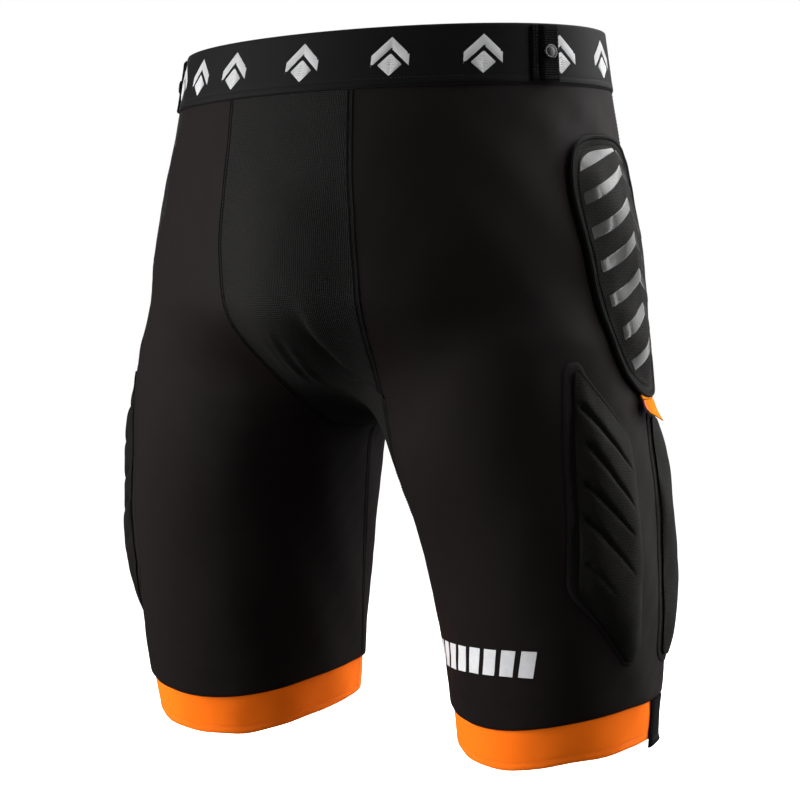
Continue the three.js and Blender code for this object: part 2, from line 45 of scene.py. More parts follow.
# ---------- small helpers ----------
def lerp(a, b, t):
    return a + (b - a) * t


def hill(x, middle, width):
    """A bump of height 1 round a place."""
    return np.exp(-(((x - middle) / width) ** 2))


def unit(v):
    return v / np.linalg.norm(v, axis=-1, keepdims=True)


def ring_turns(count):
    """Even turns round a circle, in radians."""
    return np.arange(count) / count * 2 * math.pi


def spline(xs, ys):
    """A smooth curve through values at rising places, flat beyond both ends."""
    x, y = np.array(xs, float), np.array(ys, float)
    n = len(x)
    before, after = np.maximum(np.arange(n) - 1, 0), np.minimum(np.arange(n) + 1, n - 1)
    slope = (y[after] - y[before]) / (x[after] - x[before])
    q = np.linspace(x[0], x[-1], 4001)
    i = np.clip(np.searchsorted(x, q, side="right") - 1, 0, n - 2)
    span = x[i + 1] - x[i]
    t = (q - x[i]) / span
    ends = (2 * t**3 - 3 * t**2 + 1) * y[i] + (3 * t**2 - 2 * t**3) * y[i + 1]
    bends = (t**3 - 2 * t**2 + t) * slope[i] + (t**3 - t**2) * slope[i + 1]
    table = ends + span * bends
    return lambda v: np.interp(v, q, table)


def along_segment(p, a, b):
    """How far along a segment each point lies, and its offset from there."""
    a, b = np.array(a, float), np.array(b, float)
    t = np.clip((p - a) @ (b - a) / ((b - a) @ (b - a)), 0, 1)
    return t, p - a - t[..., None] * (b - a)


def bilinear(corners, n, m):
    """Shares u and v over a four-cornered patch, and the place at each."""
    a, b, c, d = (np.array(p, float) for p in corners)
    u, v = np.meshgrid(np.linspace(0, 1, n), np.linspace(0, 1, m))
    return u, v, lerp(lerp(a, b, u[..., None]), lerp(d, c, u[..., None]), v[..., None])


# ---------- the body surface, in millimetres ----------
TRUNK_Z = [-260, -150, -60, 0]
trunk_width = spline(TRUNK_Z, [178, 179, 161.4, 154])
trunk_depth = spline(TRUNK_Z, [126, 128.5, 122, 107])
trunk_y = spline(TRUNK_Z, [4, -0.6, 3.5, 4.6])
THIGH_Z = [-500, -360, -240, -120]
thigh_x = spline(THIGH_Z, [123.2, 120.7, 103.5, 87])
thigh_y = spline(THIGH_Z, [13.8, 4.7, -6.4, -0.6])
thigh_long = spline(THIGH_Z, [69.4, 84.3, 89.8, 93.9])
thigh_short = spline(THIGH_Z, [62.4, 75, 89.1, 81.9])
THIGH_TURN = math.radians(52)
SEAT_Z, SEAT_DROP = -170, 66.5  # below SEAT_Z the trunk closes like a bowl of this depth
FORK_Z = -205  # above it the thighs fade out of the sum


def levels(z):
    curves = (trunk_width, trunk_depth, trunk_y, thigh_x, thigh_y, thigh_long, thigh_short)
    return [c(z) for c in curves]


def smooth_min(a, b, reach):
    h = np.clip(0.5 + 0.5 * (b - a) / reach, 0, 1)
    return lerp(b, a, h) - reach * h * (1 - h)


def field(x, y, z, known=None):
    """Below zero inside the body, above zero outside, nearly a distance."""
    w, d, yc, tx, ty, tl, ts = levels(z) if known is None else known
    drop = np.maximum(0, (SEAT_Z - z) / SEAT_DROP)
    size = lerp(np.minimum(w, d), SEAT_DROP, np.minimum(1, drop))
    trunk = (np.sqrt((x / w) ** 2 + ((y - yc) / d) ** 2 + drop**2) - 1) * size
    above = np.maximum(0, z - FORK_Z)
    fade = above**2 / (above + 60)
    side = np.abs(x)
    share = np.clip((side - 50) / 90, 0, 1)
    reach = lerp(39, 14, share * share * (3 - 2 * share))

    def leg(sx):
        dx, dy = sx - tx, y - ty
        u = dx * math.sin(THIGH_TURN) - dy * math.cos(THIGH_TURN)
        v = dx * math.cos(THIGH_TURN) + dy * math.sin(THIGH_TURN)
        return (np.sqrt((u / tl) ** 2 + (v / ts) ** 2) - 1) * np.minimum(tl, ts) + fade

    return smooth_min(smooth_min(trunk, leg(side), reach), leg(-side), reach)


def cast(origin, direction, reach=260.0):
    """Where rays from inside the body leave it."""
    o, d = np.broadcast_arrays(np.asarray(origin, float), np.asarray(direction, float))
    low = np.zeros(o.shape[:-1])
    high = low + reach
    known = None if np.any(d[..., 2]) else levels(o[..., 2])
    for _ in range(22):
        middle = (low + high) / 2
        p = o + d * middle[..., None]
        inside = field(p[..., 0], p[..., 1], p[..., 2], known) < 0
        low, high = np.where(inside, middle, low), np.where(inside, high, middle)
    return o + d * low[..., None]


def normal(p):
    x, y, z = p[..., 0], p[..., 1], p[..., 2]
    e, k = 0.5, levels(z)
    dx = field(x + e, y, z, k) - field(x - e, y, z, k)
    dy = field(x, y + e, z, k) - field(x, y - e, z, k)
    dz = field(x, y, z + e) - field(x, y, z - e)
    return unit(np.stack([dx, dy, dz], -1))


# Slow ripples of stretched cloth: directions in waves per mm, phases and heights.
RIPPLES = [
    (rng.normal(size=3) / np.array([60, 60, 90.0]) * k, rng.uniform(0, 6.3), a)
    for k, a in ((1, 0.35), (1.3, 0.26), (1.9, 0.12), (2.6, 0.06), (3.4, 0.03), (4.6, 0.015))
]
# Folds as straight ridges: start, end and height.
FOLDS = [
    ((-6, -122, -191), (-13, -80, -223), 1.6),
    ((-1, -119, -194), (-8, -78, -226), -1.3),
    ((4, -117, -197), (-4, -74, -227), 1.6),
    ((-13, -120, -192), (-20, -90, -216), 0.9),
]
FOLD_WIDTH = 2.5
# The pouch's under edge, where its cloth turns sharply inwards, and the way up from it.
CREASE = np.array(
    [(22, -125, -181), (23, -120, -192), (26, -110, -202), (30, -96, -214), (38, -88, -225), (52, -88, -235)],
    float,
)
CREASE_UP = np.array([0.8, -0.2, 0.5])


def crease_step(p):
    """Cloth raised above the crease and drawn in below it."""
    best, side, run = np.full(p.shape[:-1], 1e9), np.zeros(p.shape[:-1]), np.zeros(p.shape[:-1])
    pieces = len(CREASE) - 1
    for i in range(pieces):
        t, off = along_segment(p, CREASE[i], CREASE[i + 1])
        far = np.linalg.norm(off, axis=-1)
        near = far < best
        side = np.where(near, np.sign(off @ CREASE_UP), side)
        run = np.where(near, (i + t) / pieces, run)
        best = np.minimum(best, far)
    taper = np.sin(math.pi * np.clip(0.06 + 0.86 * run, 0, 1))
    height = np.where(side > 0, 1.6 * np.exp(-best / 22), -8.5 * np.exp(-best / 13))
    return height * np.tanh(best / 2.4) * taper


def ripple(p):
    """How far the cloth stands off the smooth body at a place in the shorts' own frame."""
    total = sum(a * np.sin(p @ k * 2 * math.pi + phase) for k, phase, a in RIPPLES)
    for start, end, height in FOLDS:
        t, off = along_segment(p, start, end)
        taper = np.sin(math.pi * np.clip(0.08 + 0.84 * t, 0, 1))
        total = total + height * taper * hill(np.linalg.norm(off, axis=-1), 0, FOLD_WIDTH)
    below_band = np.clip((-39 - p[..., 2]) / 24, 0, 1)
    return (total + crease_step(p)) * below_band


def skin(p, lift, side=1):
    """Points at a lift off the cloth. p is on the left half; side -1 puts them on the right."""
    out = p + normal(p) * (lift + ripple(p * [side, 1, 1]))[..., None]
    return out * [side, 1, 1]


def sheet_on(p, over, under, side=1):
    """The outer and inner grids of a sheet that lies on the cloth."""
    out, bare = normal(p), ripple(p * [side, 1, 1])
    return tuple((p + out * (lift + bare)[..., None]) * [side, 1, 1] for lift in (over, under))


def axis(z):
    """The line up through a leg that the angle phi turns round."""
    share = np.clip((z + 120) / 120, 0, None)
    x = np.where(z > -120, lerp(87, 60, share), thigh_x(z))
    y = np.where(z > -120, lerp(-0.6, 0, share), thigh_y(z))
    return np.stack([x, y, z], -1)


def on_surface(phi, z):
    phi, z = np.broadcast_arrays(np.asarray(phi, float), np.asarray(z, float))
    a = axis(z)
    d = np.stack([np.sin(phi), -np.cos(phi), 0 * phi], -1)
    to_middle = (a[..., 0] - 0.15) / np.maximum(1e-6, -d[..., 0])
    return cast(a, d, np.minimum(260, to_middle))


def angle_of(p):
    c = axis(p[..., 2])
    return np.arctan2(p[..., 0] - c[..., 0], -(p[..., 1] - c[..., 1]))


def hem_height(phi):
    """Where a leg's fabric ends and the hem band starts."""
    return -433.5 - 8.5 * np.cos(phi) - 4.4 * np.cos(2 * phi) + 2 * np.sin(2 * phi)


def panel_top(y):
    return -38.3 + 0.03 * y


# ---------- meshes ----------
def build(name, verts, faces, uvs, material, body="garment", slot=None):
    """A smooth mesh from points in mm, corner lists and a (u, v) in mm for each corner."""
    mesh = bpy.data.meshes.new(name)
    mesh.from_pydata((np.asarray(verts) * MM).tolist(), [], faces)
    layer = mesh.uv_layers.new(name="UVMap")
    if uvs is None:
        uvs = np.zeros((len(mesh.loops), 2))
    layer.data.foreach_set("uv", (np.asarray(uvs, float) * MM).ravel())
    mesh.polygons.foreach_set("use_smooth", [True] * len(mesh.polygons))
    mesh.set_sharp_from_angle(angle=math.radians(52))
    mesh.materials.append(material)
    mesh.update()
    obj = bpy.data.objects.new(name, mesh)
    bpy.context.scene.collection.objects.link(obj)
    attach(obj, body)
    return obj


def outward(verts, faces):
    """The faces, all turned over if they face inwards."""
    a, b, c = (verts[[f[i] for f in faces]] for i in range(3))
    if np.einsum("ij,ij->", a - verts.mean(0), np.cross(b - a, c - a)) < 0:
        return [f[::-1] for f in faces]
    return faces


def run_along(path):
    """The running length at each point of a path."""
    return np.concatenate([[0], np.cumsum(np.linalg.norm(np.diff(path, axis=0), axis=1))])


def steps_along(grid, axis_no):
    """Mean running length of a grid of points along one axis, for UVs."""
    d = np.linalg.norm(np.diff(grid, axis=axis_no), axis=-1).mean(axis=1 - axis_no)
    return np.concatenate([[0], np.cumsum(d)])


def indices(rows, cols):
    return (k.ravel() for k in np.meshgrid(np.arange(rows), np.arange(cols), indexing="ij"))


def shell_parts(outer, inner, closed=False, cut=None):
    """Corner lists and UVs of a sheet between two equal grids; cut gives each place's own UV."""
    rows, cols = outer.shape[:2]
    wrapped = np.concatenate([outer, outer[:, :1]], 1) if closed else outer
    us, vs = steps_along(wrapped, 1), steps_along(wrapped, 0)
    steps = cols if closed else cols - 1
    quads, uv = [], []

    def add(corners, du=0, dv=0):
        """Quads from (grid, row, column) corners; a rim's inner corners are set aside in the UV."""
        corners = [np.broadcast_arrays(*corner) for corner in corners]
        quads.append(np.stack([s * rows * cols + a * cols + b % cols for s, a, b in corners], 1))
        places = [np.stack([us[b] + s * du, -vs[a] - s * dv], -1) for s, a, b in corners]
        uv.append(np.stack(places, 1))

    i, j = indices(rows - 1, steps)
    face = [(i, j), (i + 1, j), (i + 1, j + 1), (i, j + 1)]
    add([(0, a, b) for a, b in face])
    add([(1, a, b) for a, b in face[::-1]])
    i, j = np.arange(rows - 1), np.arange(steps)
    for row, turn in ((0, -1), (rows - 1, 1)):
        add([(0, row, j), (0, row, j + 1), (1, row, j + 1), (1, row, j)][::turn], dv=1)
    if not closed:
        for col, turn in ((0, 1), (cols - 1, -1)):
            add([(0, i, col), (0, i + 1, col), (1, i + 1, col), (1, i, col)][::turn], du=1)
    verts = np.concatenate([outer.reshape(-1, 3), inner.reshape(-1, 3)])
    quads, uv = np.concatenate(quads), np.concatenate(uv)
    if cut is not None:
        uv = np.concatenate([cut.reshape(-1, 2)] * 2)[quads]
    middle = (rows // 2) * cols + cols // 2
    a, b, c = verts[quads[np.argmax((quads == middle).any(1))][:3]]
    if np.cross(b - a, c - a) @ (verts[middle] - verts[middle + rows * cols]) < 0:
        quads, uv = quads[:, ::-1], uv[:, ::-1]
    return verts, quads, uv


def shells(name, pairs, material, body="garment", slot=None, closed=False, cut=None):
    """One object from one or more sheets, each a pair of outer and inner grids."""
    verts, faces, uvs, start = [], [], [], 0
    for outer, inner in pairs:
        v, q, uv = shell_parts(outer, inner, closed, cut)
        verts.append(v)
        faces.append(q + start)
        uvs.append(uv)
        start += len(v)
    verts, faces, uvs = (np.concatenate(parts) for parts in (verts, faces, uvs))
    return build(name, verts, faces.tolist(), uvs.reshape(-1, 2), material, body, slot)


CUT_ACROSS, CUT_DOWN = 0.92, 0.97  # a stretch panel's cut size against its size as worn


def declare_sheet(outer, closed=False):
    """The cut size of a panel stretched on the body, narrower and shorter than it lies there; it is worked
    out here and not used.
    """
    grid = np.concatenate([outer, outer[:, :1]], 1) if closed else outer
    across = np.linalg.norm(np.diff(grid, axis=1), axis=-1).sum(1).max() * CUT_ACROSS
    down = np.linalg.norm(np.diff(grid, axis=0), axis=-1).sum(0).max() * CUT_DOWN
    diagonals = grid[1:, 1:] - grid[:-1, :-1], grid[1:, :-1] - grid[:-1, 1:]
    area = np.linalg.norm(np.cross(*diagonals), axis=-1).sum() / 2 * CUT_ACROSS * CUT_DOWN
    area = min(area, across * down)


def tube(path, radius, sides, normals):
    """Points, corner lists and UVs of a tube round a looped path."""
    n = len(path)
    side = unit(np.cross(unit(tangents(path, True)), normals))
    up = np.cross(side, unit(tangents(path, True)))
    turn = ring_turns(sides)[:, None]
    ring = np.cos(turn) * side[:, None] + np.sin(turn) * up[:, None]
    verts = (path[:, None] + ring * radius).reshape(-1, 3)
    length = run_along(path)
    length = np.append(length, length[-1] + np.linalg.norm(path[0] - path[-1]))
    i, j = indices(n, sides)
    corners = [(i, j + 1), (i + 1, j + 1), (i + 1, j), (i, j)]
    quads = np.stack([(a % n) * sides + b % sides for a, b in corners], 1)
    step = 2 * math.pi * radius / sides
    uv = np.stack([np.stack([length[a], b * step], -1) for a, b in corners], 1)
    return verts, quads.tolist(), uv.reshape(-1, 2)


def resample(path, step, closed=False, extra=()):
    """Evenly spaced points along a path, with other per-point arrays carried along."""
    arrays = [path, *extra]
    if closed:
        arrays = [np.concatenate([a, a[:1]]) for a in arrays]
    at = run_along(arrays[0])
    count = max(2, int(round(at[-1] / step)))
    q = np.linspace(0, at[-1], count + 1)[: count if closed else count + 1]
    return [np.stack([np.interp(q, at, a[:, k]) for k in range(a.shape[1])], 1) for a in arrays]


def tangents(path, closed):
    return np.roll(path, -1, 0) - np.roll(path, 1, 0) if closed else np.gradient(path, axis=0)


def lateral(path, normals, closed=False):
    return unit(np.cross(normals, tangents(path, closed)))


def skin_row(p, offset, lift, side=1, closed=False):
    """A stitch row along points on the left half, set aside by an offset."""
    q = p + lateral(p, normal(p), closed) * offset
    return skin(q, lift, side), normal(q) * [side, 1, 1], closed


def stitches(name, rows, material, body="garment", slot=None, pitch=3.0, length=2.0, radius=0.2):
    """Rows of thread stitches. Each row is (path, normals, closed)."""
    verts, faces, start = [], [], 0
    along = np.array([-0.5, -0.38, -0.12, 0.12, 0.38, 0.5]) * length
    size = np.array([0.35, 0.9, 1, 1, 0.9, 0.35]) * radius
    rise = np.array([-0.9, 0.2, 0.55, 0.55, 0.2, -0.9]) * radius
    k, m = len(along), 5
    turn = ring_turns(m)
    corners = [(i, j, (j + 1) % m) for i in range(k - 1) for j in range(m)]
    one = np.array([[i * m + a, i * m + b, (i + 1) * m + b, (i + 1) * m + a] for i, a, b in corners])
    for path, normals, closed in rows:
        p, n = resample(path, pitch, closed, (normals,))
        n, t = unit(n), unit(tangents(p, closed))
        if not closed:
            p, n, t = p[1:-1], n[1:-1], t[1:-1]
        s = np.cross(n, t)
        p, n, t, s = (a[:, None, None] for a in (p, n, t, s))
        centre = p + t * along[:, None, None] + n * rise[:, None, None]
        ring = (s * np.cos(turn)[:, None] + n * np.sin(turn)[:, None]) * size[:, None, None]
        v = (centre + ring).reshape(-1, 3)
        base = start + np.arange(len(p))[:, None] * k * m
        faces += (base[:, None] + one).reshape(-1, 4)[:, ::-1].tolist()
        caps = base + np.arange(m)
        faces += caps.tolist() + (caps + (k - 1) * m)[:, ::-1].tolist()
        verts.append(v)
        start += len(v)
    return build(name, np.concatenate(verts), faces, None, material, body, slot)


# ---------- materials ----------
class Nodes:
    """Shorthand for building one material's node tree."""

    def __init__(self, name, colour, roughness, **sockets):
        self.material = bpy.data.materials.new(name)
        self.material.use_nodes = True
        self.tree = self.material.node_tree
        self.shader = self.tree.nodes["Principled BSDF"]
        self.shader.inputs["Base Color"].default_value = (*colour, 1)
        self.shader.inputs["Roughness"].default_value = roughness
        self.material.diffuse_color = (*colour, 1)
        for key, value in sockets.items():
            self.shader.inputs[key.replace("_", " ")].default_value = value

    def add(self, kind, **values):
        node = self.tree.nodes.new("ShaderNode" + kind)
        for key, value in values.items():
            setattr(node, key, value)
        return node

    def link(self, a, b):
        self.tree.links.new(a, b)

    def maths(self, operation, *values):
        node = self.add("Math", operation=operation)
        for socket, value in zip(node.inputs, values):
            if isinstance(value, (int, float)):
                socket.default_value = value
            else:
                self.link(value, socket)
        return node.outputs[0]

    def mix(self, a, b, c):
        return self.maths("MULTIPLY_ADD", a, b, c)

    def uv(self):
        """The piece's own cloth coordinates, in metres."""
        split = self.add("SeparateXYZ")
        self.link(self.add("UVMap", uv_map="UVMap").outputs[0], split.inputs[0])
        return split.outputs[0], split.outputs[1]

    def wave(self, value, pitch, phase=0.0):
        return self.maths("SINE", self.mix(value, 2 * math.pi / pitch, phase))

    def noise(self, scale, detail=2.0, stretch=(1, 1, 1)):
        mapping, tex = self.add("Mapping"), self.add("TexNoise")
        mapping.inputs["Scale"].default_value = stretch
        self.link(self.add("TexCoord").outputs["Object"], mapping.inputs[0])
        tex.inputs["Scale"].default_value = scale
        tex.inputs["Detail"].default_value = detail
        self.link(mapping.outputs[0], tex.inputs["Vector"])
        return tex.outputs[0]

    def colour(self, share, low, high):
        """Base colour between two colours by a share from 0 to 1."""
        ramp = self.add("ValToRGB")
        ramp.color_ramp.elements[0].color = (*low, 1)
        ramp.color_ramp.elements[1].color = (*high, 1)
        self.link(share, ramp.inputs[0])
        self.link(ramp.outputs[0], self.shader.inputs["Base Color"])

    def bump(self, height, distance):
        node = self.add("Bump")
        node.inputs["Strength"].default_value = 1.0
        node.inputs["Distance"].default_value = distance
        self.link(height, node.inputs["Height"])
        self.link(node.outputs[0], self.shader.inputs["Normal"])

    def rough(self, share, low, high):
        self.link(self.mix(share, high - low, low), self.shader.inputs["Roughness"])


def fabric(name, colour, roughness, fuzz, sheen, tint, specular):
    """A cloth's shader: fuzz is the sheen's roughness."""
    return Nodes(
        name, colour, roughness, Sheen_Weight=sheen, Sheen_Roughness=fuzz,
        Sheen_Tint=(*tint, 1), Specular_IOR_Level=specular,
    )


def jersey(name, dark, light, pitch, depth, roughness, sheen, tint):
    """A fine stretch knit: columns of small loops, faintly mottled, with painted shade in the loops' hollows.
    """
    n = fabric(name, light, roughness, 0.42, sheen, tint, 0.04)
    u, v = n.uv()
    lean = n.maths("MULTIPLY", n.wave(v, pitch * 0.8), 0.9)
    column = n.maths("SINE", n.mix(u, 2 * math.pi / pitch, lean))
    loops = n.mix(n.wave(v, pitch * 0.8, 1.2), 0.4, column)
    n.bump(loops, depth)
    cloud = n.noise(26, 4, (1, 1, 0.5))
    # The loops' height also darkens the base colour in their hollows: painted shade. The cloud gives the real
    # uneven tone.
    n.colour(n.mix(loops, 0.07, cloud), dark, light)
    n.rough(cloud, roughness - 0.08, roughness + 0.08)
    return n.material


def air_mesh(name, dark, light, pitch, depth, roughness, sheen, tint, slant=0.0):
    """A knit with small holes set in staggered rows, the holes darkened with painted shade."""
    n = fabric(name, light, roughness, 0.5, sheen, tint, 0.06)
    u, v = n.uv()
    u = n.mix(n.noise(320, 1), 0.0009, u)
    v = n.mix(n.noise(290, 1), 0.0009, v)
    across = n.wave(n.mix(v, 1.0 + slant, u), pitch * 1.15)
    down = n.wave(n.mix(v, -1.0 + slant, u), pitch * 1.15)
    bars = n.maths("MULTIPLY", across, down)
    n.bump(n.maths("SMOOTH_MAX", bars, -0.35, 0.3), depth)
    cloud = n.noise(30, 3)
    # The holes take the dark tone: painted shade seen through them. The cloud gives the real uneven tone.
    n.colour(n.mix(cloud, 0.3, n.mix(bars, 0.5, 0.5)), dark, light)
    n.rough(cloud, roughness - 0.06, roughness + 0.06)
    return n.material


def ribbed(name, dark, light, pitch, depth, roughness, sheen, vertical=False, specular=0.3):
    """A woven tape with close ribs and a crossing thread, with painted shade in the grooves between ribs."""
    n = fabric(name, light, roughness, 0.4, sheen, (1, 1, 1), specular)
    u, v = n.uv()
    a, b = (v, u) if vertical else (u, v)
    rib = n.wave(b, pitch)
    n.bump(n.mix(n.wave(a, pitch * 0.62), 0.35, rib), depth)
    # The rib wave also darkens the base colour in the grooves: painted shade. The noise gives the real uneven
    # tone.
    n.colour(n.mix(rib, 0.14, n.noise(45, 3)), dark, light)
    return n.material


def plain(name, low, high, roughness, scale, bump=0.0, **sockets):
    """A surface with a fine grain and slightly uneven tone."""
    n = Nodes(name, high, roughness, **sockets)
    cloud = n.noise(scale, 3)
    n.colour(cloud, low, high)
    n.rough(cloud, roughness * 0.8, roughness * 1.25)
    if bump:
        n.bump(n.noise(scale * 12, 2), bump)
    return n.material


# Dark and light tone, then pitch and depth of the weave in metres, roughness and sheen; a mesh's dark tone is
# the painted shade in its holes.
WARM = (1.0, 0.66, 0.65)
stretch_fabric = jersey(
    "stretch_knit", (0.0039, 0.0024, 0.0025), (0.006, 0.0038, 0.0039),
    0.00045, 0.00003, 0.6, 0.0098, WARM,
)
mesh_fabric = air_mesh(
    "mesh_knit", (0.0002, 0.0002, 0.0002), (0.0084, 0.0076, 0.0071),
    0.0021, 0.0003, 0.66, 0.004, (1, 0.96, 0.94),
)
pad_fabric = air_mesh(
    "pad_spacer_knit", (0.0005, 0.0005, 0.0004), (0.0059, 0.0051, 0.0044),
    0.0016, 0.00022, 0.74, 0.002, (1, 0.9, 0.8), 0.2,
)
flange_fabric = jersey(
    "pad_edge_knit", (0.0052, 0.0045, 0.0044), (0.0095, 0.0081, 0.0079),
    0.0008, 0.0001, 0.66, 0.008, WARM,
)
elastic = ribbed(
    "waist_elastic", (0.002, 0.0017, 0.0019), (0.0034, 0.0029, 0.0031),
    0.0007, 0.00004, 0.62, 0.006, specular=0.05,
)
motif_thread = ribbed(
    "motif_thread", (0.44, 0.44, 0.45), (0.66, 0.66, 0.67), 0.0009, 0.0002, 0.6, 0.3,
)
tape = ribbed(
    "ribbed_tape", (0.0009, 0.0008, 0.0008), (0.003, 0.0026, 0.0025),
    0.0015, 0.0002, 0.65, 0.002, specular=0.02,
)
piping_fabric = ribbed(
    "piping_braid", (0.0014, 0.0013, 0.0012), (0.0042, 0.0038, 0.0036),
    0.0012, 0.0002, 0.65, 0.004, specular=0.04,
)
seam_fabric = ribbed(
    "seam_threads", (0.0014, 0.0011, 0.0011), (0.0034, 0.0026, 0.0026),
    0.0009, 0.0001, 0.65, 0.006, vertical=True, specular=0.04,
)
thread_black = plain(
    "thread_black", (0.0035, 0.003, 0.003), (0.008, 0.0068, 0.0068), 0.6, 900,
    Specular_IOR_Level=0.08,
)
thread_grey = plain(
    "thread_grey", (0.009, 0.0085, 0.0085), (0.02, 0.0185, 0.0185), 0.6, 900,
    Specular_IOR_Level=0.12,
)
hem_fabric = jersey(
    "hem_knit", (0.88, 0.138, 0.004), (0.98, 0.182, 0.007),
    0.0007, 0.00006, 0.75, 0.04, (1, 0.7, 0.4),
)
thread_orange = plain(
    "thread_orange", (0.7, 0.13, 0.006), (0.85, 0.18, 0.01), 0.55, 900, Sheen_Weight=0.05,
)
label_fabric = ribbed(
    "label_weave", (0.5, 0.14, 0.004), (0.66, 0.19, 0.006),
    0.0006, 0.0001, 0.75, 0.0, specular=0.02,
)
label_edge = plain("label_edge_red", (0.3, 0.012, 0.006), (0.42, 0.022, 0.009), 0.6, 400)
film = plain(
    "grip_film", (0.018, 0.0178, 0.0172), (0.028, 0.0274, 0.0262), 0.26, 90, 0.000006,
    Coat_Weight=0.13, Coat_Roughness=0.16, IOR=1.23,
)
print_film = plain(
    "reflective_print", (0.46, 0.46, 0.47), (0.6, 0.6, 0.61), 0.42, 300, 0.00002, Coat_Weight=0.1,
)
silicone = plain(
    "clear_silicone", (0.55, 0.55, 0.53), (0.7, 0.7, 0.68), 0.32, 120, 0.00002,
    Transmission_Weight=0.25, IOR=1.41,
)
metal = plain(
    "black_snap", (0.012, 0.012, 0.013), (0.028, 0.028, 0.03), 0.34, 500, 0.00001, Metallic=0.65,
)


# ---------- waistband ----------
def on_waist(tau, z, lift):
    x = (trunk_width(z) + lift) * np.sin(tau)
    y = trunk_y(z) - (trunk_depth(z) + lift) * np.cos(tau)
    return np.stack([x, y, z + 0.03 * y], -1)


def waist_row(tau, z, lift, side=1, closed=False):
    """A stitch row on the waistband."""
    p = on_waist(tau, z, lift)
    return p * [side, 1, 1], (on_waist(tau, z, lift + 1) - p) * [side, 1, 1], closed


# Height and lift of the band's face, from its top edge down to the rolled lower edge.
BAND_PROFILE = np.array(
    [(-0.15, -0.6), (0.0, 0.1), (-0.3, 0.75), (-0.9, 1.0)]
    + [(z, 1.0 + 0.05 * math.sin(z * 1.7)) for z in np.linspace(-2.2, -31.8, 18)]
    + [(-32.9, 0.86), (-33.5, 0.84), (-34.2, 1.1), (-35.4, 1.18)]
    + [(-36.8, 1.12), (-37.6, 0.9), (-38.0, 0.2)]
)
turns = ring_turns(360)
band_z, band_lift = BAND_PROFILE.T[..., None]
band_face = on_waist(turns, band_z, band_lift)
back_lift = np.where((band_z < -37.2) | (band_z > -0.2), -1.2, -1.5)
band_back = on_waist(turns, np.clip(band_z, -37.6, -0.45), back_lift)
waistband = shells(
    "waistband_woven", [(band_face, band_back)], elastic, slot="waist_elastic", closed=True
)
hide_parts("waistband")
band_row = waist_row(turns, -33.2, 0.9, closed=True)
stitches(
    "waistband_stitches", [band_row], thread_grey, slot="waist_elastic", pitch=2.6, length=1.5
)


def waist_patch(degrees, corners, n, m):
    """A raised patch on the waistband. Corners are in mm round and up from a place."""
    tau0, z0 = math.radians(degrees), -19.5
    u, v, st = bilinear(corners, n, m)
    rate = np.linalg.norm(on_waist(tau0 + 0.01, z0, 0) - on_waist(tau0, z0, 0)) / 0.01
    edge = np.minimum(np.minimum(u, 1 - u) * (n - 1), np.minimum(v, 1 - v) * (m - 1))
    tau, z = tau0 + st[..., 0] / rate, z0 + st[..., 1]
    return on_waist(tau, z, lerp(1.02, 1.4, np.clip(edge, 0, 1))), on_waist(tau, z, 0.9)


MOTIF_TURNS = [
    -35.6, -19.0, 3.1, 25.9, 49.5, 73.6, 96.4, 120.2, 144, 167.8, 191.6, 215.4, 239.2, 263, 286.8, 307,
]
motifs = []
for degrees in MOTIF_TURNS:
    for side in (-1, 1):
        arm = [(0, 12.5), (side * 12.2, 1.0), (side * 12.2, -6.2), (0, 5.3)]
        half = [(0, 2.0), (side * 7.6, -5.2), (side * 7.6, -5.6), (0, -12.4)]
        motifs += [waist_patch(degrees, arm, 7, 5), waist_patch(degrees, half, 6, 7)]
shells("waist_motifs", motifs, motif_thread, slot="waist_elastic")


# ---------- centre strip ----------
# The strip runs from the band in front (0), under the crotch (2), to the band behind (4).
# These are its half widths on the two sides.
EDGES = {
    1: spline(
        [0, 0.54, 1, 1.25, 1.49, 1.83, 2, 2.5, 3.2, 4],
        [46, 50, 54, 58, 54, 42, 36, 36, 60, 62],
    ),
    -1: spline(
        [0, 0.46, 1.04, 1.24, 1.4, 1.59, 1.78, 2, 2.5, 3.2, 4],
        [48, 46, 48, 45, 38.5, 30, 22, 14, 34, 60, 62],
    ),
}


def on_strip(x, t):
    x, t = np.broadcast_arrays(np.asarray(x, float), np.asarray(t, float))
    back = np.where(t < 2, -1.0, 1.0)
    down = np.minimum(np.where(t < 2, t, 4 - t), 1)
    z = lerp(panel_top(back * trunk_depth(-38)), -120, down)
    psi = np.clip(t - 1, 0, 2) * math.pi / 2
    flat = (t <= 1) | (t >= 3)
    dy, dz = np.where(flat, back, -np.cos(psi)), np.where(flat, 0, -np.sin(psi))
    return cast(np.stack([x, 0 * x + 2, z], -1), np.stack([0 * x, dy, dz], -1))


def strip_panel(name, start, end, material, slot):
    """The strip between two places, with its pouch and a first row sewn in under the band."""
    t, v = np.linspace(start, end, 92)[:, None], np.linspace(-1, 1, 49)[None]
    x = v * np.where(v > 0, EDGES[1](t), EDGES[-1](t))
    rise = 9 * hill(t, 1.15, 0.45) * (1 - v * v) ** 2
    sewn = on_strip(x[:1], t[:1] + (0.061 if start > end else -0.061))
    p, rise = np.concatenate([sewn, on_strip(x, t)]), np.concatenate([rise[:1], rise])
    first = np.arange(len(p))[:, None] == 0
    outer, inner = sheet_on(p, rise - 0.9 * first, rise - 1.5 - 0.2 * first)
    run = run_along(p[:, p.shape[1] // 2])[:, None] + 0 * v
    cut = np.stack([np.concatenate([x[:1], x]), run], -1)
    panel = shells(name, [(outer, inner)], material, slot=slot, cut=cut)
    declare_sheet(outer)
    return panel


mesh_panel = strip_panel("mesh_panel_front", 0, 2, mesh_fabric, "mesh_fabric")
seat_panel = strip_panel("seat_panel_rear", 4, 2, stretch_fabric, "stretch_fabric")
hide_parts("front_mesh_panel")
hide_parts("seat_panel")


# ---------- leg panels ----------
SIDE_SEAM, INSEAM = math.radians(125), math.radians(-113)
CROTCH_Z = -236


def strip_edge(t, side):
    p = on_strip(EDGES[side](t), t)
    return angle_of(p), p[..., 2]


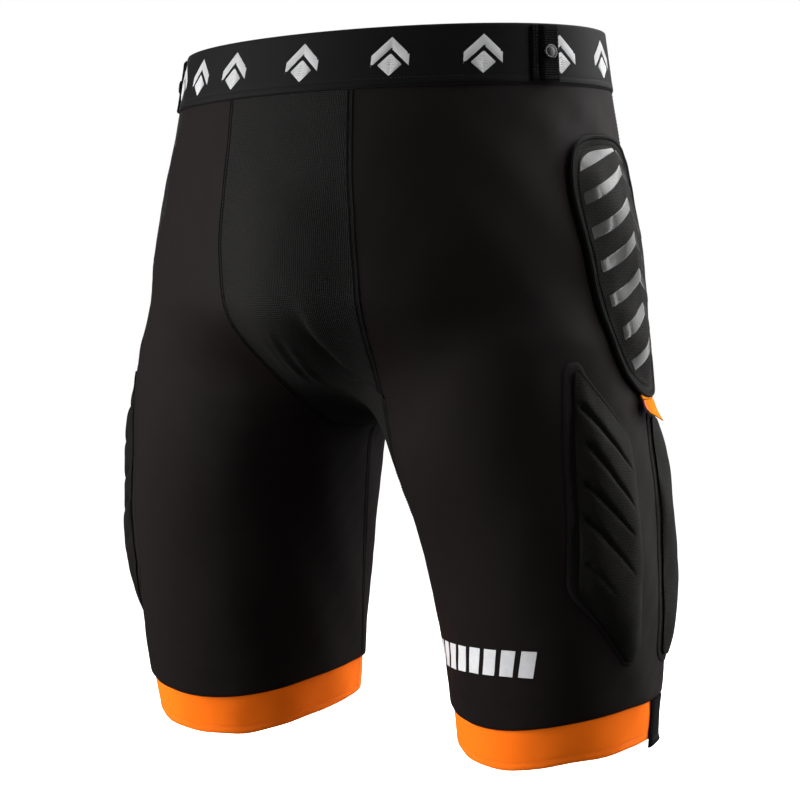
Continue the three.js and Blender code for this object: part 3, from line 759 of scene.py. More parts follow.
def leg_places(side, rear, cols):
    """Angles and heights over a leg panel, and the lifts of its two faces at each row."""
    share = np.linspace(0, 1, 58)
    u = np.linspace(0, 1, cols)[None]
    round_back = 2 * math.pi if rear else 0
    edge_phi, edge_z = strip_edge(4 - 2 * share if rear else 2 * share, side)
    phi = lerp((edge_phi + round_back)[:, None], SIDE_SEAM, u)
    z = lerp(edge_z[:, None], lerp(panel_top(0), CROTCH_Z, share)[:, None], u)
    z[0] = panel_top(on_surface(phi[0], z[0])[:, 1])
    low = np.concatenate([share[1:-1], [0.988, 0.996, 1]])[:, None]
    low_phi = lerp(phi[-1:], lerp(INSEAM + round_back, SIDE_SEAM, u), low)
    low_z = lerp(z[-1:], hem_height(low_phi), low)
    phi = np.concatenate([phi[:1], phi, low_phi])
    z = np.concatenate([z[:1] + 5, z, low_z])
    over, under = np.zeros((len(z), 1)), np.full((len(z), 1), -1.5)
    over[[0, -2, -1], 0] = -0.9, -0.12, -0.5
    under[[0, -2, -1], 0] = -1.7, -1.4, -1.0
    return phi, z, over, under


for name, side in SIDES:
    for part, rear, cols in (("front", 0, 122), ("rear", 1, 60)):
        phi, z, over, under = leg_places(side, rear, cols)
        pair = sheet_on(on_surface(phi, z), over, under, side)
        cut = np.stack([95 * phi, z], -1)
        panel = shells(
            f"leg_panel_{part}_{name}", [pair], stretch_fabric, slot="stretch_fabric", cut=cut
        )
        declare_sheet(pair[0])
        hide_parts(f"{part}_leg_panel_{name}")


# ---------- seams ----------
SEAM_OFFSETS = np.array([-1, -0.86, -0.6, -0.3, 0, 0.3, 0.6, 0.86, 1])
SEAM_HEIGHTS = np.array([-0.1, 0.12, 0.28, 0.24, -0.12, 0.24, 0.28, 0.12, -0.1])


def seam_strip(p, width, side):
    """A flat sewn seam along points on the left half: a low ridge each side of a groove."""
    offsets = (SEAM_OFFSETS * width / 2)[:, None]
    q = p[:, None] + lateral(p, normal(p))[:, None] * offsets
    return sheet_on(q, SEAM_HEIGHTS, -1.95, side)


seam_shells, seam_rows = [], []
for name, side in SIDES:
    t = np.linspace(0, 2, 130)
    front_edge, rear_edge = (on_strip(EDGES[side](k), k) for k in (t, 4 - t))
    top = panel_top(on_surface(SIDE_SEAM, panel_top(0.0))[1])
    side_z = np.linspace(top - 0.2, hem_height(SIDE_SEAM) + 1.2, 150)
    phi0, z0 = strip_edge(2.0, side)
    s = np.linspace(0, 0.995, 90)
    inseam_phi = lerp(phi0, INSEAM, s)
    inseam = on_surface(inseam_phi, lerp(z0, hem_height(inseam_phi), s))
    paths = (front_edge, rear_edge, on_surface(SIDE_SEAM, side_z), inseam)
    for path, width in zip(paths, (5.6 if side > 0 else 3.6, 5.0, 5.0, 5.0)):
        path = resample(path, 2.6)[0]
        seam_shells.append(seam_strip(path, width, side))
        seam_rows += [skin_row(path, k * width * 0.3, 0.3, side) for k in (-1, 1)]
shells("panel_seams", seam_shells, seam_fabric, slot="stretch_fabric")
stitches(
    "panel_seam_stitches", seam_rows, thread_black, slot="stretch_fabric", pitch=2.4, length=1.7
)

# A thin dark cord along the band's lower edge: it is the sewn join, and it is also made dark as the painted
# shadow line under the band.
at_band = on_waist(turns, -38.6, 0)
join = cast(at_band * [0, 0, 1], at_band * [1, 1, 0] / 150)
join_out = normal(join)
cord = tube(join + 0.1 * join_out, 0.55, 6, join_out)
build("waist_join_cord_painted_shadow", *cord, seam_fabric, slot="stretch_fabric")


# ---------- hem bands and grippers ----------
hem_turns, grip_turns = ring_turns(150) + INSEAM, ring_turns(240)
# Rows down a hem band, with the lifts of its two faces.
HEM_DROPS = [-15, -10, -5, -1, 1.5, 4, 7, 10, 13, 16, 19, 21.4, 22.2, 23, 24.5, 25.8, 26.6, 27]
HEM_OVER = [-2.05] * 4 + [-2.0, -1.9] + [-1.85] * 6 + [-2.05, -1.8, -1.75, -1.85, -2.2, -2.8]
HEM_UNDER = [-4.0] * 16 + [-3.9, -3.3]
hem_drops, hem_over, hem_under = np.array([HEM_DROPS, HEM_OVER, HEM_UNDER])[..., None]
GRIP_DROPS = np.array([8, 9, 10.5, 12, 13, 14, 15.5, 17, 18])[:, None]
GRIP_BEADS = np.array([0, 0.5, 0.9, 0.5, 0.1, 0.5, 0.9, 0.5, 0])[:, None]


def hem_wobble(phi):
    return 0.5 * np.sin(3 * phi + 1) + 0.35 * np.sin(7 * phi) + 0.2 * np.sin(13 * phi + 2)


def below_hem(phi, drop):
    return on_surface(phi, hem_height(phi) - drop)


for name, side in SIDES:
    stretch = np.clip(hem_drops / 27, 0, 1)
    wobble = hem_wobble(hem_turns + side)
    puff = 0.25 * np.sin(hem_turns * 9 + 2 * side) * np.sin(stretch * math.pi)
    p = below_hem(hem_turns, hem_drops + stretch * wobble)
    pair = sheet_on(p, hem_over + puff, hem_under, side)
    band = shells(f"hem_band_knit_{name}", [pair], hem_fabric, slot="hem_fabric", closed=True)
    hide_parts(f"hem_band_{name}")
    declare_sheet(pair[0], True)
    join = below_hem(INSEAM, np.linspace(0.3, 26.6, 14))
    rows = [skin_row(below_hem(hem_turns, 22.2 + 0.82 * wobble), 0, -1.95, side, True)]
    rows += [skin_row(join, offset, -1.62, side) for offset in (0.8, -0.8)]
    stitches(
        f"hem_stitches_{name}", rows, thread_orange, slot="hem_fabric",
        pitch=2.6, length=1.9, radius=0.16,
    )
    rows = [skin_row(below_hem(hem_turns, -up), 0, 0.03, side, True) for up in (15.0, 18.5)]
    stitches(
        f"leg_hem_stitches_{name}", rows, seam_fabric, slot="stretch_fabric",
        pitch=3.0, length=2.2, radius=0.12,
    )
    bead = GRIP_BEADS * (0.65 + 0.35 * np.sin(grip_turns * 60))
    pair = sheet_on(below_hem(grip_turns, GRIP_DROPS), -4.1, -4.35 - 0.65 * bead, side)
    beads = shells(
        f"hem_gripper_beads_{name}", [pair], silicone, slot="grip_silicone", closed=True
    )
    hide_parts(f"hem_gripper_{name}")


# ---------- pads ----------
def placer(degrees, z0):
    """Places on a leg, in mm round and up from a middle."""
    phi0 = math.radians(degrees)

    def place(s, t):
        z = z0 + t
        radius = np.linalg.norm(on_surface(phi0, z) - axis(z), axis=-1)
        return on_surface(phi0 + s / radius, z)

    return place


def seat_place(s, t):
    return cast(np.stack([s, 0 * s, t - 118], -1), [0, 1, 0])


def evenly(path, count):
    """A closed path cut into even steps."""
    length = np.linalg.norm(np.roll(path, -1, 0) - path, axis=1).sum()
    return resample(path, length / count, True)[0][:count]


def rounded_outline(corners):
    """A polygon with rounded corners."""
    c = np.array(corners, float)
    q = np.linspace(0, 1, 9)[:, None]
    bends = []
    for i, here in enumerate(c):
        a, b = (here + 6 * unit(c[k % len(c)] - here) for k in (i - 1, i + 1))
        bends.append((1 - q) ** 2 * a + 2 * q * (1 - q) * here + q * q * b)
    return evenly(np.concatenate(bends), 250)


def smooth_outline(points):
    """A closed curve through points."""
    b = np.array(points, float)[:, None]
    a, c, d = (np.roll(b, k, 0) for k in (1, -1, -2))
    t = np.arange(16)[:, None] / 16
    bend = (2 * a - 5 * b + 4 * c - d) * t * t + (3 * b - a - 3 * c + d) * t**3
    return evenly((0.5 * (2 * b + (c - a) * t + bend)).reshape(-1, 2), 170)


def grown(outline, distance):
    """An outline moved outwards."""
    after = np.roll(outline, -1, 0)
    (s, t), (s2, t2) = outline.T, after.T
    d = unit(after - np.roll(outline, 1, 0)) * np.sign(np.sum(s * t2 - s2 * t))
    return outline + np.stack([d[:, 1], -d[:, 0]], 1) * np.reshape(distance, (-1, 1))


def pad_mesh(place, outline, rhos, top, under, side):
    """Points, faces and UVs of a closed pad over an outline that is star-shaped about 0, 0."""
    count, rings = len(outline), len(rhos)
    st = np.concatenate([[[0, 0]], (outline * rhos[:, None, None]).reshape(-1, 2)])
    rho = np.concatenate([[0], np.repeat(rhos, count)])
    p = place(*st.T)
    verts = np.concatenate([skin(p, top(*st.T, rho), side), skin(p, under, side)])
    j = np.arange(count)
    k = (j + 1) % count
    a = 1 + np.arange(rings - 1)[:, None] * count
    fan = np.stack([0 * j, 1 + j, 1 + k], 1)
    quads = np.stack([a + j, a + count + j, a + count + k, a + k], -1).reshape(-1, 4)
    layer, rim = len(p), 1 + (rings - 1) * count
    band = np.stack([rim + j, layer + rim + j, layer + rim + k, rim + k], 1)
    faces = []
    for part in (fan, quads, layer + fan[:, ::-1], layer + quads[:, ::-1], band):
        faces += part.tolist()
    faces = outward(verts, faces)
    return verts, faces, np.concatenate([st, st])[np.concatenate(faces)]


def beside(grid, **edge):
    """The four neighbours of each place in a grid."""
    wide = np.pad(grid, 1, **edge)
    return np.stack([wide[:-2, 1:-1], wide[2:, 1:-1], wide[1:-1, :-2], wide[1:-1, 2:]])


def puffed(place, outline, height, steepness):
    rhos = np.array([0.2, 0.4, 0.6, 0.76, 0.88, 0.96, 1.0])
    top = lambda s, t, rho: 2.4 + (height - 2.4) * (1 - rho**steepness)
    verts, faces, _ = pad_mesh(place, outline[:: len(outline) // 60], rhos, top, 0.4, 1)
    mesh = bpy.data.meshes.new("puff")
    mesh.from_pydata((verts * MM).tolist(), [], faces)
    obj = bpy.data.objects.new("puff", mesh)
    scene = bpy.context.scene
    scene.collection.objects.link(obj)
    remesh = obj.modifiers.new("remesh", "REMESH")
    remesh.mode, remesh.voxel_size = "VOXEL", 0.004
    fine = bpy.data.meshes.new_from_object(
        obj.evaluated_get(bpy.context.evaluated_depsgraph_get())
    )
    obj.modifiers.clear()
    obj.data = fine
    rest = np.array([v.co for v in fine.vertices]) / MM
    pin = obj.vertex_groups.new(name="pin")
    pin.add(np.flatnonzero(field(*rest.T) < 2.0).tolist(), 1.0, "REPLACE")
    cloth = obj.modifiers.new("cloth", "CLOTH")
    cloth.settings.vertex_group_mass = "pin"
    cloth.settings.use_pressure = True
    cloth.settings.uniform_pressure_force = 4
    cloth.settings.effector_weights.gravity = 0
    cloth.point_cache.frame_start, cloth.point_cache.frame_end = 1, 20
    for f in range(1, 21):
        scene.frame_set(f)
    blown = obj.evaluated_get(bpy.context.evaluated_depsgraph_get()).data
    moved = np.array([v.co for v in blown.vertices]) / MM - rest
    far = np.linalg.norm(moved, axis=1, keepdims=True)
    moved *= np.minimum(1, 5 / np.maximum(far, 1e-6))
    scene.frame_set(1)
    tree = BVHTree.FromPolygons(
        (rest + moved).tolist(), [list(f.vertices) for f in fine.polygons]
    )
    bpy.data.objects.remove(obj)
    ss, tt = (np.linspace(-b, b, n) for b, n in zip(np.abs(outline).max(0), (46, 60)))
    p = place(*np.meshgrid(ss, tt, indexing="ij"))
    n = normal(p)
    grid = np.full(p.shape[:2], np.nan)
    for i in np.ndindex(grid.shape):
        hit = tree.ray_cast(Vector(p[i] + n[i] * 40), Vector(-n[i]))
        if hit[0] is not None and hit[3] < 39.2:
            grid[i] = 40 - hit[3]
    for _ in range(60):  # places the cover doesn't reach take their neighbours' height
        near = beside(grid, constant_values=np.nan)
        count = (~np.isnan(near)).sum(0)
        mean = np.nansum(near, 0) / np.maximum(count, 1)
        grid = np.where(np.isnan(grid) & (count > 0), mean, grid)
    for _ in range(14):
        grid = (beside(grid, mode="edge").sum(0) + 4 * grid) / 8

    def at(s, t):
        x = np.clip((s - ss[0]) / (ss[1] - ss[0]), 0, len(ss) - 1.001)
        y = np.clip((t - tt[0]) / (tt[1] - tt[0]), 0, len(tt) - 1.001)
        i, j = x.astype(int), y.astype(int)
        low, high = (lerp(grid[i, k], grid[i + 1, k], x - i) for k in (j, j + 1))
        return lerp(low, high, y - j)

    return at


RHOS = np.concatenate(
    [np.linspace(0.03, 0.8, 48), np.linspace(0.813, 0.97, 14), [0.98, 0.988, 0.995, 1.0]]
)
PAD_UNDER = 0.35  # lift of a pad's under face

# Hip pads: points round the edge from the top forwards, and the crest's place across the pad.
HIP_EDGE = [
    (-16, 81.5), (-28, 79.5), (-37, 74.5), (-42.5, 64), (-45.2, 50), (-45.5, 36), (-43.5, 20), (-39.5, 3),
    (-35.5, -15), (-32, -33), (-28, -51), (-20.5, -66), (-9, -75.5), (4, -79.3), (18, -76), (29, -65),
    (36, -48), (40.5, -26), (43, -2), (43.5, 22), (40, 45), (31, 64), (16, 76.5), (0, 81.3),
]
hip_crest = spline([-80, -60, -41, -25, -2, 18, 43, 65, 80], [5, 3, 1.6, 1.2, -1.5, -4, -2.5, 0, 0.5])
HIP_PLACE, HIP_OUTLINE = placer(96, -155), smooth_outline(HIP_EDGE)
edge_turns, edge_reach = np.arctan2(*HIP_OUTLINE.T), np.hypot(*HIP_OUTLINE.T)
hip_sim = puffed(HIP_PLACE, HIP_OUTLINE, 8.2, 2.6)


def hip_rho(s, t):
    """The share of the way from the middle to the outline."""
    reach = np.interp(np.arctan2(s, t), edge_turns, edge_reach, period=2 * math.pi)
    return np.clip(np.hypot(s, t) / reach, 0, 1)


def hip_top(s, t, rho):
    """The cover's height, with a gutter by the edge and a ridge that falls to the rear."""
    base = 3 + 7 * (1 - rho**2.6) if hip_sim is None else hip_sim(s, t)
    fuller_below = lerp(1.08, 0.84, np.clip((t + 80) / 160, 0, 1))
    base = 2.6 + (np.clip(base, 2.6, 10.6) - 2.6) * (1 - rho**10) * fuller_below
    past = s - hip_crest(t)
    fall = lerp(0.14, 0.26, np.clip((t + 20) / 70, 0, 1))
    ridge = 2.2 * np.clip(1 + past / 32, 0, 1) - 0.8 - fall * np.clip(past, 0, 18)
    return base - 0.7 * hill(rho, 0.955, 0.014) + ridge * (1 - rho**3)


# Each chevron's arm, from its front end to the crest: upper edge, then lower edge.
CHEVRONS = [
    (
        [(-40.5, 45.6), (-29.4, 52.6), (-19.5, 59.5), (-13.2, 65.5)],
        [(-40.8, 38), (-29, 45.4), (-19.5, 53), (-13.4, 59)],
    ),
    (
        [(-39.2, 24.1), (-31.7, 28.9), (-21.5, 36.8), (-14.2, 44.2)],
        [(-37.9, 17), (-28.7, 22.7), (-20.2, 30.3), (-14.4, 36)],
    ),
    (
        [(-34.1, 3.6), (-25.7, 10), (-19.8, 15.8), (-14.4, 22.4)],
        [(-31.9, -3.4), (-24.3, 1.8), (-18.3, 8), (-13.6, 14.4)],
    ),
    (
        [(-28.6, -18.7), (-20.8, -12.4), (-16.4, -7.2), (-12, 0)],
        [(-27.3, -26), (-20.2, -20.8), (-13.8, -14), (-10.2, -8.4)],
    ),
    (
        [(-22.4, -38.9), (-15.6, -33.2), (-10.8, -27), (-7.2, -22.4)],
        [(-22.3, -46.6), (-14.8, -41.8), (-8.2, -35.4), (-5, -31.4)],
    ),
    (
        [(-17.4, -58.8), (-10.7, -54), (-5, -48.6), (-2.4, -45.2)],
        [(-13.2, -64.8), (-6.6, -60.6), (-1.2, -56), (0.6, -53.4)],
    ),
]
# The cap above them, in front of the crest and behind it.
CAPS = [
    (
        [(-39.6, 60.6), (-36.6, 66.4), (-25.5, 73), (-2, 76.6)],
        [(-39.4, 59.4), (-29.4, 63.6), (-15, 69.4), (-1, 74.6)],
    ),
    (
        [(1.8, 76.6), (9.4, 74.2), (17.4, 68.4), (22.4, 61)],
        [(0.8, 74.4), (8, 69.6), (15, 64.4), (21, 60)],
    ),
]


def film_patch(upper, lower, side):
    """A slightly raised gloss patch between two edges of four points, on the hip pad."""
    at, w = np.linspace(0, 1, 4), np.linspace(0, 1, 26)
    low, high = (
        np.stack([spline(at, values)(w) for values in np.array(edge).T], -1)
        for edge in (lower, upper)
    )
    v = np.array([0, 0.04, 0.16, 0.38, 0.62, 0.84, 0.96, 1])[:, None, None]
    s, t = np.moveaxis(lerp(low, high, v), -1, 0)
    i, j = np.indices(s.shape)
    rim = np.minimum(np.minimum(i, len(v) - 1 - i), np.minimum(j, len(w) - 1 - j))
    top = hip_top(s, t, hip_rho(s, t))
    rise = np.array([0.14, 0.19, 0.2])[np.minimum(rim, 2)]
    return sheet_on(HIP_PLACE(s, t), top + rise, top - 0.3, side)


def to_crest(edge):
    """An arm's edge, stretched from its front end until it ends on the crest."""
    s, t = np.array(edge).T
    return np.stack([s[0] + (s - s[0]) * (hip_crest(t[-1]) - s[0]) / (s[-1] - s[0]), t], 1)


def past_crest(edge):
    """The same edge on the crest's other side, from its rear end."""
    s, t = edge.T
    return np.stack([2 * hip_crest(t) - 0.96 * s, t], 1)[::-1]


def hip_film(side):
    """Raised chevrons either side of the crest, and a filled cap above them."""
    out = []
    for edges in CHEVRONS:
        upper, lower = (to_crest(edge) for edge in edges)
        slim = lerp(upper, lower, np.array([[0.55], [0.7], [0.85], [1.0]]))
        out.append(film_patch(upper, lower, side))
        out.append(film_patch(past_crest(upper), past_crest(slim), side))
    return out + [film_patch(upper, lower, side) for upper, lower in CAPS]


for name, side in SIDES:
    pad = pad_mesh(HIP_PLACE, HIP_OUTLINE, RHOS, hip_top, PAD_UNDER, side)
    cover = build(f"hip_pad_spacer_cover_{name}", *pad, pad_fabric, slot="pad_fabric")
    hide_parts(f"hip_pad_cover_{name}", f"hip_pad_foam_{name}")
    chevrons = shells(f"hip_pad_chevrons_{name}", hip_film(side), film, slot="grip_film")
    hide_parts(f"hip_pad_grip_film_{name}")
    path, away, _ = skin_row(HIP_PLACE(*grown(HIP_OUTLINE, 1.6).T), 0, 2.2, side, True)
    path, away = resample(path, 1.6, True, (away,))
    cord = tube(path, 1.6, 12, away)
    piping = build(f"hip_pad_welt_{name}", *cord, piping_fabric, slot="ribbed_tape")
    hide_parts(f"hip_pad_piping_{name}")
    s, t = HIP_OUTLINE.T * 0.968
    rows = [
        skin_row(HIP_PLACE(s, t), 0, hip_top(s, t, 0.968) + 0.02, side, True),
        skin_row(HIP_PLACE(*grown(HIP_OUTLINE, 4.9).T), 0, 0.05, side, True),
    ]
    stitches(
        f"hip_pad_stitches_{name}", rows, thread_black, slot="pad_fabric", pitch=2.8, length=1.9
    )

# Thigh pads. A groove has its deep end, its shallow end and its depth.
FRONT_THIGH = [(-11, 93), (28.5, 43), (16.5, -35), (12.5, -84), (4, -93.5), (-29, -45)]
REAR_THIGH = [(-42, 78), (30, 52), (30, -50), (-26, -78), (-43, -76)]
FRONT_GROOVES = [
    ((-11, 70), (18.3, 29), 3.4),
    ((-11.6, 46.6), (13.5, 6), 3.4),
    ((-16.3, 23.1), (9, -11.5), 3.4),
    ((-19.6, 1.3), (5.6, -34.4), 3.2),
    ((-22.7, -26.3), (-8.3, -47), 1.5),
]
REAR_GROOVES = [((-6, y), (24, y - 17), 2.8) for y in (42, 18, -6, -30)]
TAIL_GROOVES = [((0, y), (k * 30, y - 16), 2.4) for y in (36, 14, -8) for k in (-1, 1)]


def pad_top(sim, grooves, thin=0.0):
    """A sewn pad's height; thin is how much lower it is towards its top end."""

    def top(s, t, rho):
        if sim is None:
            base = 9.3 - 6.4 * rho**5
        else:
            base = np.clip(sim(s, t) * 1.12, 2.8, 8.7 + 0.1 * sim(s, t))
        taper = 1 - thin * np.clip((t - 12) / 60, 0, 1)
        height = 2.4 + (base - 2.4) * (1 - rho**22) * taper
        for a, b, depth in grooves:
            q, off = along_segment(np.stack([s, t], -1), a, b)
            share = np.linalg.norm(off, axis=-1) / lerp(2.3, 1.0, q)
            fade = (0.12 + 0.88 * (1 - q) ** 0.6) * np.clip(q * 14 + 0.3, 0, 1)
            height = height - depth * fade * np.exp(-(share**1.6))
        return height

    return top


def make_pad(node, place, outline, top, widths, side):
    """A sewn pad and the flat border round it."""
    pad = pad_mesh(place, outline, RHOS, top, PAD_UNDER, side)
    cover = build(f"{node}_soft_cover", *pad, pad_fabric, slot="pad_fabric")
    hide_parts(node)
    ring = lambda share: place(*grown(outline, widths * share).T)
    p = np.stack([ring(share) for share in (-0.25, 0, 0.15, 0.3, 0.7, 0.88, 1)])
    over = np.array([0.9, 1.3, 0.85, 1.05, 0.95, 0.62, 0.1])[:, None]
    pair = sheet_on(p, over, -0.1, side)
    border = shells(
        f"{node}_soft_flange", [pair], flange_fabric, slot="ribbed_tape", closed=True
    )
    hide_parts(node.replace("_pad", "_pad_border"))
    row = skin_row(ring(0.36), 0, 1.02, side, True)
    stitches(f"{node}_soft_stitches", [row], thread_black, slot="ribbed_tape", pitch=2.8)


front_outline, rear_outline = rounded_outline(FRONT_THIGH), rounded_outline(REAR_THIGH)
front_place, rear_place = placer(63, -310), placer(128, -325)
front_top = pad_top(puffed(front_place, front_outline, 7.8, 5), FRONT_GROOVES)
rear_top = pad_top(puffed(rear_place, rear_outline, 7.8, 5), REAR_GROOVES, 0.6)
s, t = front_outline.T
front_widths = 3.4 + 4.2 * np.clip((-s - 6) / 5, 0, 1) * np.clip((t + 62) / 20, 0, 1)
for name, side in SIDES:
    make_pad(
        f"front_thigh_pad_{name}", front_place, front_outline, front_top, front_widths, side
    )
    make_pad(f"rear_thigh_pad_{name}", rear_place, rear_outline, rear_top, 5.0, side)

# Tailbone pad: a blunt lower end.
turn = ring_turns(150)
blunt = np.abs(np.sin(turn)) ** np.where(np.cos(turn) > 0, 0, 0.12)
TAIL_OUTLINE = np.stack([44 * np.sin(turn) * blunt, 58 * np.cos(turn)], 1)
tail_top = pad_top(puffed(seat_place, TAIL_OUTLINE, 8.6, 4), TAIL_GROOVES)
make_pad("tailbone_pad", seat_place, TAIL_OUTLINE, tail_top, 5.0, 1)


# ---------- print on the left leg ----------
print_place = placer(-12, -402)
bars = []
for s in -62 + 13.3 * np.arange(8):
    low, high = 0.02 * s - 9, 0.02 * s + 8
    corners = [(s, low), (s + 9.4, low), (s + 13.8, high), (s + 4.4, high)]
    st = bilinear(corners, 8, 14)[2]
    bars.append(sheet_on(print_place(st[..., 0], st[..., 1]), 0.14, -0.3))
shells("leg_print_bars", bars, print_film, slot="grip_film")

# ---------- waist tabs ----------
# Angles round the band in degrees: where a tab starts, and how far its two parts reach.
TAB_START, TAB_SEWN, TAB_SWEEP = 63.2, 2.2, 5.9
STUD_TURN = math.radians(TAB_START + TAB_SEWN + 3.4)
TAB_Z, TAB_THICKNESS, FREE_LIFT = -19, 1.4, 3.0
TAB_ROWS = np.array([18, 17.6, 16.9, *np.linspace(15.5, -15.5, 15), -16.9, -17.6, -18])[:, None]


def tab_sheet(start, end, low, high, side, cols):
    """A piece of tape on the band between two angles, that rises from one lift to another."""
    share = np.linspace(0, 1, cols)[None]
    tau, z, off = np.radians(lerp(start, end, share)), TAB_Z + TAB_ROWS, np.abs(TAB_ROWS)
    edge_v = np.clip((18 - off) / 1.1, 0, 1)
    edge_u = np.clip(np.minimum(share, 1 - share) * (cols - 1), 0, 1)
    body = np.sqrt(1 - (1 - edge_v) ** 2) * (0.72 + 0.28 * edge_u)
    base = lerp(low, high, np.minimum(1, share * 6))
    over = base + TAB_THICKNESS * (0.35 + 0.65 * body) + 0.22 * hill(off, 16, 0.9)
    under = base + TAB_THICKNESS * 0.25 * (1 - body)
    return tuple(on_waist(tau, z, lift) * [side, 1, 1] for lift in (over, under))


def tab_row(tau_from, tau_to, dz_from, dz_to, lift, side):
    tau, z = np.radians(np.linspace(tau_from, tau_to, 20)), np.linspace(dz_from, dz_to, 20) + TAB_Z
    return waist_row(tau, z, lift, side)


def turned(name, profile, lift, side, body):
    """A solid turned from (radius, height) points about the stud's line, out of the waistband.

    The profile starts and ends on the axis, or closes on itself.
    """
    at = lambda turn, rise: on_waist(STUD_TURN + turn, TAB_Z + rise, 1.0)
    up = unit(at(0, 5) - at(0, -5))
    out = unit(np.cross(at(0.01, 0) - at(-0.01, 0), up))
    centre = at(0, 0) + out * (lift - 1.0)
    r, h = np.array(profile, float).T[..., None]
    turn = ring_turns(40)
    sides, rings = len(turn), len(profile)
    points = np.stack([r * np.cos(turn), r * np.sin(turn), h + 0 * turn], -1).reshape(-1, 3)
    verts = (points @ np.stack([np.cross(up, out), up, out]) + centre) * [side, 1, 1]
    closed = r[0, 0] > 0.2
    i, j = indices(rings if closed else rings - 1, sides)
    corners = [(i, j), (i, j + 1), (i + 1, j + 1), (i + 1, j)]
    faces = np.stack([a % rings * sides + b % sides for a, b in corners], 1).tolist()
    if not closed:
        faces += [list(range(sides))[::-1], list(range((rings - 1) * sides, rings * sides))]
    return build(name, verts, outward(verts, faces), None, metal, body, "snap_metal")


# A press stud's four pieces: how far each stands off the band, and its profile.
SNAPS = {
    "cap": (FREE_LIFT + TAB_THICKNESS + 0.3, [
        (0.06, -1.7), (1.0, -1.7), (1.1, -1.6), (1.1, 0), (4.3, 0), (4.55, 0.12), (4.6, 0.35), (4.5, 0.62),
        (4.1, 0.82), (3.7, 0.86), (3.35, 0.7), (3.1, 0.66), (2.8, 0.8), (2.2, 0.98), (1.2, 1.08), (0.06, 1.1),
    ]),
    "socket": (1.4, [
        (2.2, 0.1), (2.35, 0), (4.1, 0), (4.3, 0.15), (4.3, 0.85), (4.1, 1.05), (2.4, 1.1), (2.2, 1.0),
    ]),
    "stud": (1.3, [
        (0.06, 0), (1.55, 0), (1.62, 0.2), (1.8, 0.7), (1.7, 0.95), (1.35, 1.1), (0.06, 1.12),
    ]),
    "post": (-2.1, [
        (0.06, -0.8), (4.4, -0.8), (4.6, -0.6), (4.6, -0.15), (4.4, 0), (1.1, 0), (1.1, 2.5), (0.06, 2.5),
    ]),
}
for name, side in SIDES:
    flap_body = f"waist_flap_{name}"
    sewn_to = TAB_START + TAB_SEWN
    pair = tab_sheet(TAB_START, sewn_to, 1.3, 1.3, side, 10)
    anchor = shells(f"waist_tab_base_{name}", [pair], tape, slot="ribbed_tape")
    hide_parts(f"waist_tab_anchor_{name}")
    rows = [tab_row(TAB_START + k, TAB_START + k, -17, 17, 2.72, side) for k in (0.7, 1.45)]
    stitches(
        f"waist_tab_base_stitches_{name}", rows, thread_grey, slot="ribbed_tape",
        pitch=2.2, length=1.5,
    )
    flap_from = sewn_to + 0.35
    flap_to = flap_from + TAB_SWEEP
    pair = tab_sheet(flap_from, flap_to, 1.8, FREE_LIFT, side, 24)
    flap = shells(f"waist_tab_flap_{name}", [pair], tape, flap_body, "ribbed_tape")
    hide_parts(f"waist_tab_{name}")
    near, far = flap_from + 1.3, flap_to - 0.5
    lines = ((near, far, 15.4, 15.4), (near, far, -15.4, -15.4), (far, far, -15, 15))
    stitches(
        f"waist_tab_flap_stitches_{name}", [tab_row(*line, 4.42, side) for line in lines],
        thread_grey, flap_body, "ribbed_tape", pitch=2.2, length=1.5,
    )
    for kind, (lift, profile) in SNAPS.items():
        part, body = ("tab", flap_body) if kind in ("cap", "socket") else ("waist", "garment")
        piece = turned(f"snap_{kind}_{name}", profile, lift, side, body)
        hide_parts(f"{part}_snap_{kind}_{name}")

# ---------- hem pull tabs ----------
OUTER_SIDE = math.radians(97)
TAPE_SWEEP = 27 / 75  # its width over the leg's radius
TAPE_END = 29.8
for name, side in SIDES:
    q = np.linspace(-0.5, 0.5, 15)[None]
    down = np.concatenate([np.linspace(0.5, 27, 40), np.linspace(27.6, 32, 9)])[:, None]
    rib = 0.16 * np.sin(down * 2 * math.pi / 2.1)
    edge = np.clip((0.5 - np.abs(q)) * 14, 0, 1) ** 0.5
    fold = 0.9 * hill(down, TAPE_END, 1.7)
    close = np.sqrt(1 - np.clip((down - TAPE_END) / 2.3, 0, 1) ** 2)
    body = (0.45 + (1.45 + rib + fold) * (0.4 + 0.6 * edge)) * lerp(0.35, 1, close)
    p = below_hem(OUTER_SIDE + TAPE_SWEEP * q, down)
    pair = sheet_on(p, body - 1.7, -1.45 + 0.1 * close, side)
    tab = shells(f"hem_tab_webbing_{name}", [pair], tape, f"hem_tab_{name}", "ribbed_tape")
    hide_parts(f"hem_pull_tab_{name}")
    line = OUTER_SIDE + TAPE_SWEEP * np.linspace(-0.42, 0.42, 12)
    rows = [skin_row(below_hem(line, drop), 0, 0.36, side) for drop in (25.6, 27.0)]
    stitches(
        f"hem_tab_stitches_{name}", rows, thread_grey, f"hem_tab_{name}", "ribbed_tape",
        pitch=2.0, length=1.6,
    )

# ---------- pad labels ----------
TILT = math.radians(27)
out = np.array([math.sin(OUTER_SIDE), -math.cos(OUTER_SIDE), 0])
across = np.array([-out[1], out[0], 0])
hang = out * math.sin(TILT) - np.array([0, 0, math.cos(TILT)])
face = np.cross(across, hang)
root = on_surface(OUTER_SIDE, -238.6)
root = root + normal(root) * 2.8


def loose(u, d):
    """How far down the label's slanted cloth each place lies, and its bow out of plane."""
    bow = 0.5 * np.sin(d / 15 * math.pi) * (u / 9) ** 2 + 0.3 * np.sin(d / 15 * 2.6)
    return d * lerp(0.54, 1.02, (u + 9) / 18), bow


def label_sheet(u, down, rise, half, side):
    """The two faces of a sheet at places across and down the label's plane."""
    middle = np.stack(np.broadcast_arrays(u, down, rise), -1) @ np.stack([across, hang, face])
    return tuple((root + middle + face * lift) * [side, 1, 1] for lift in (half, -half))


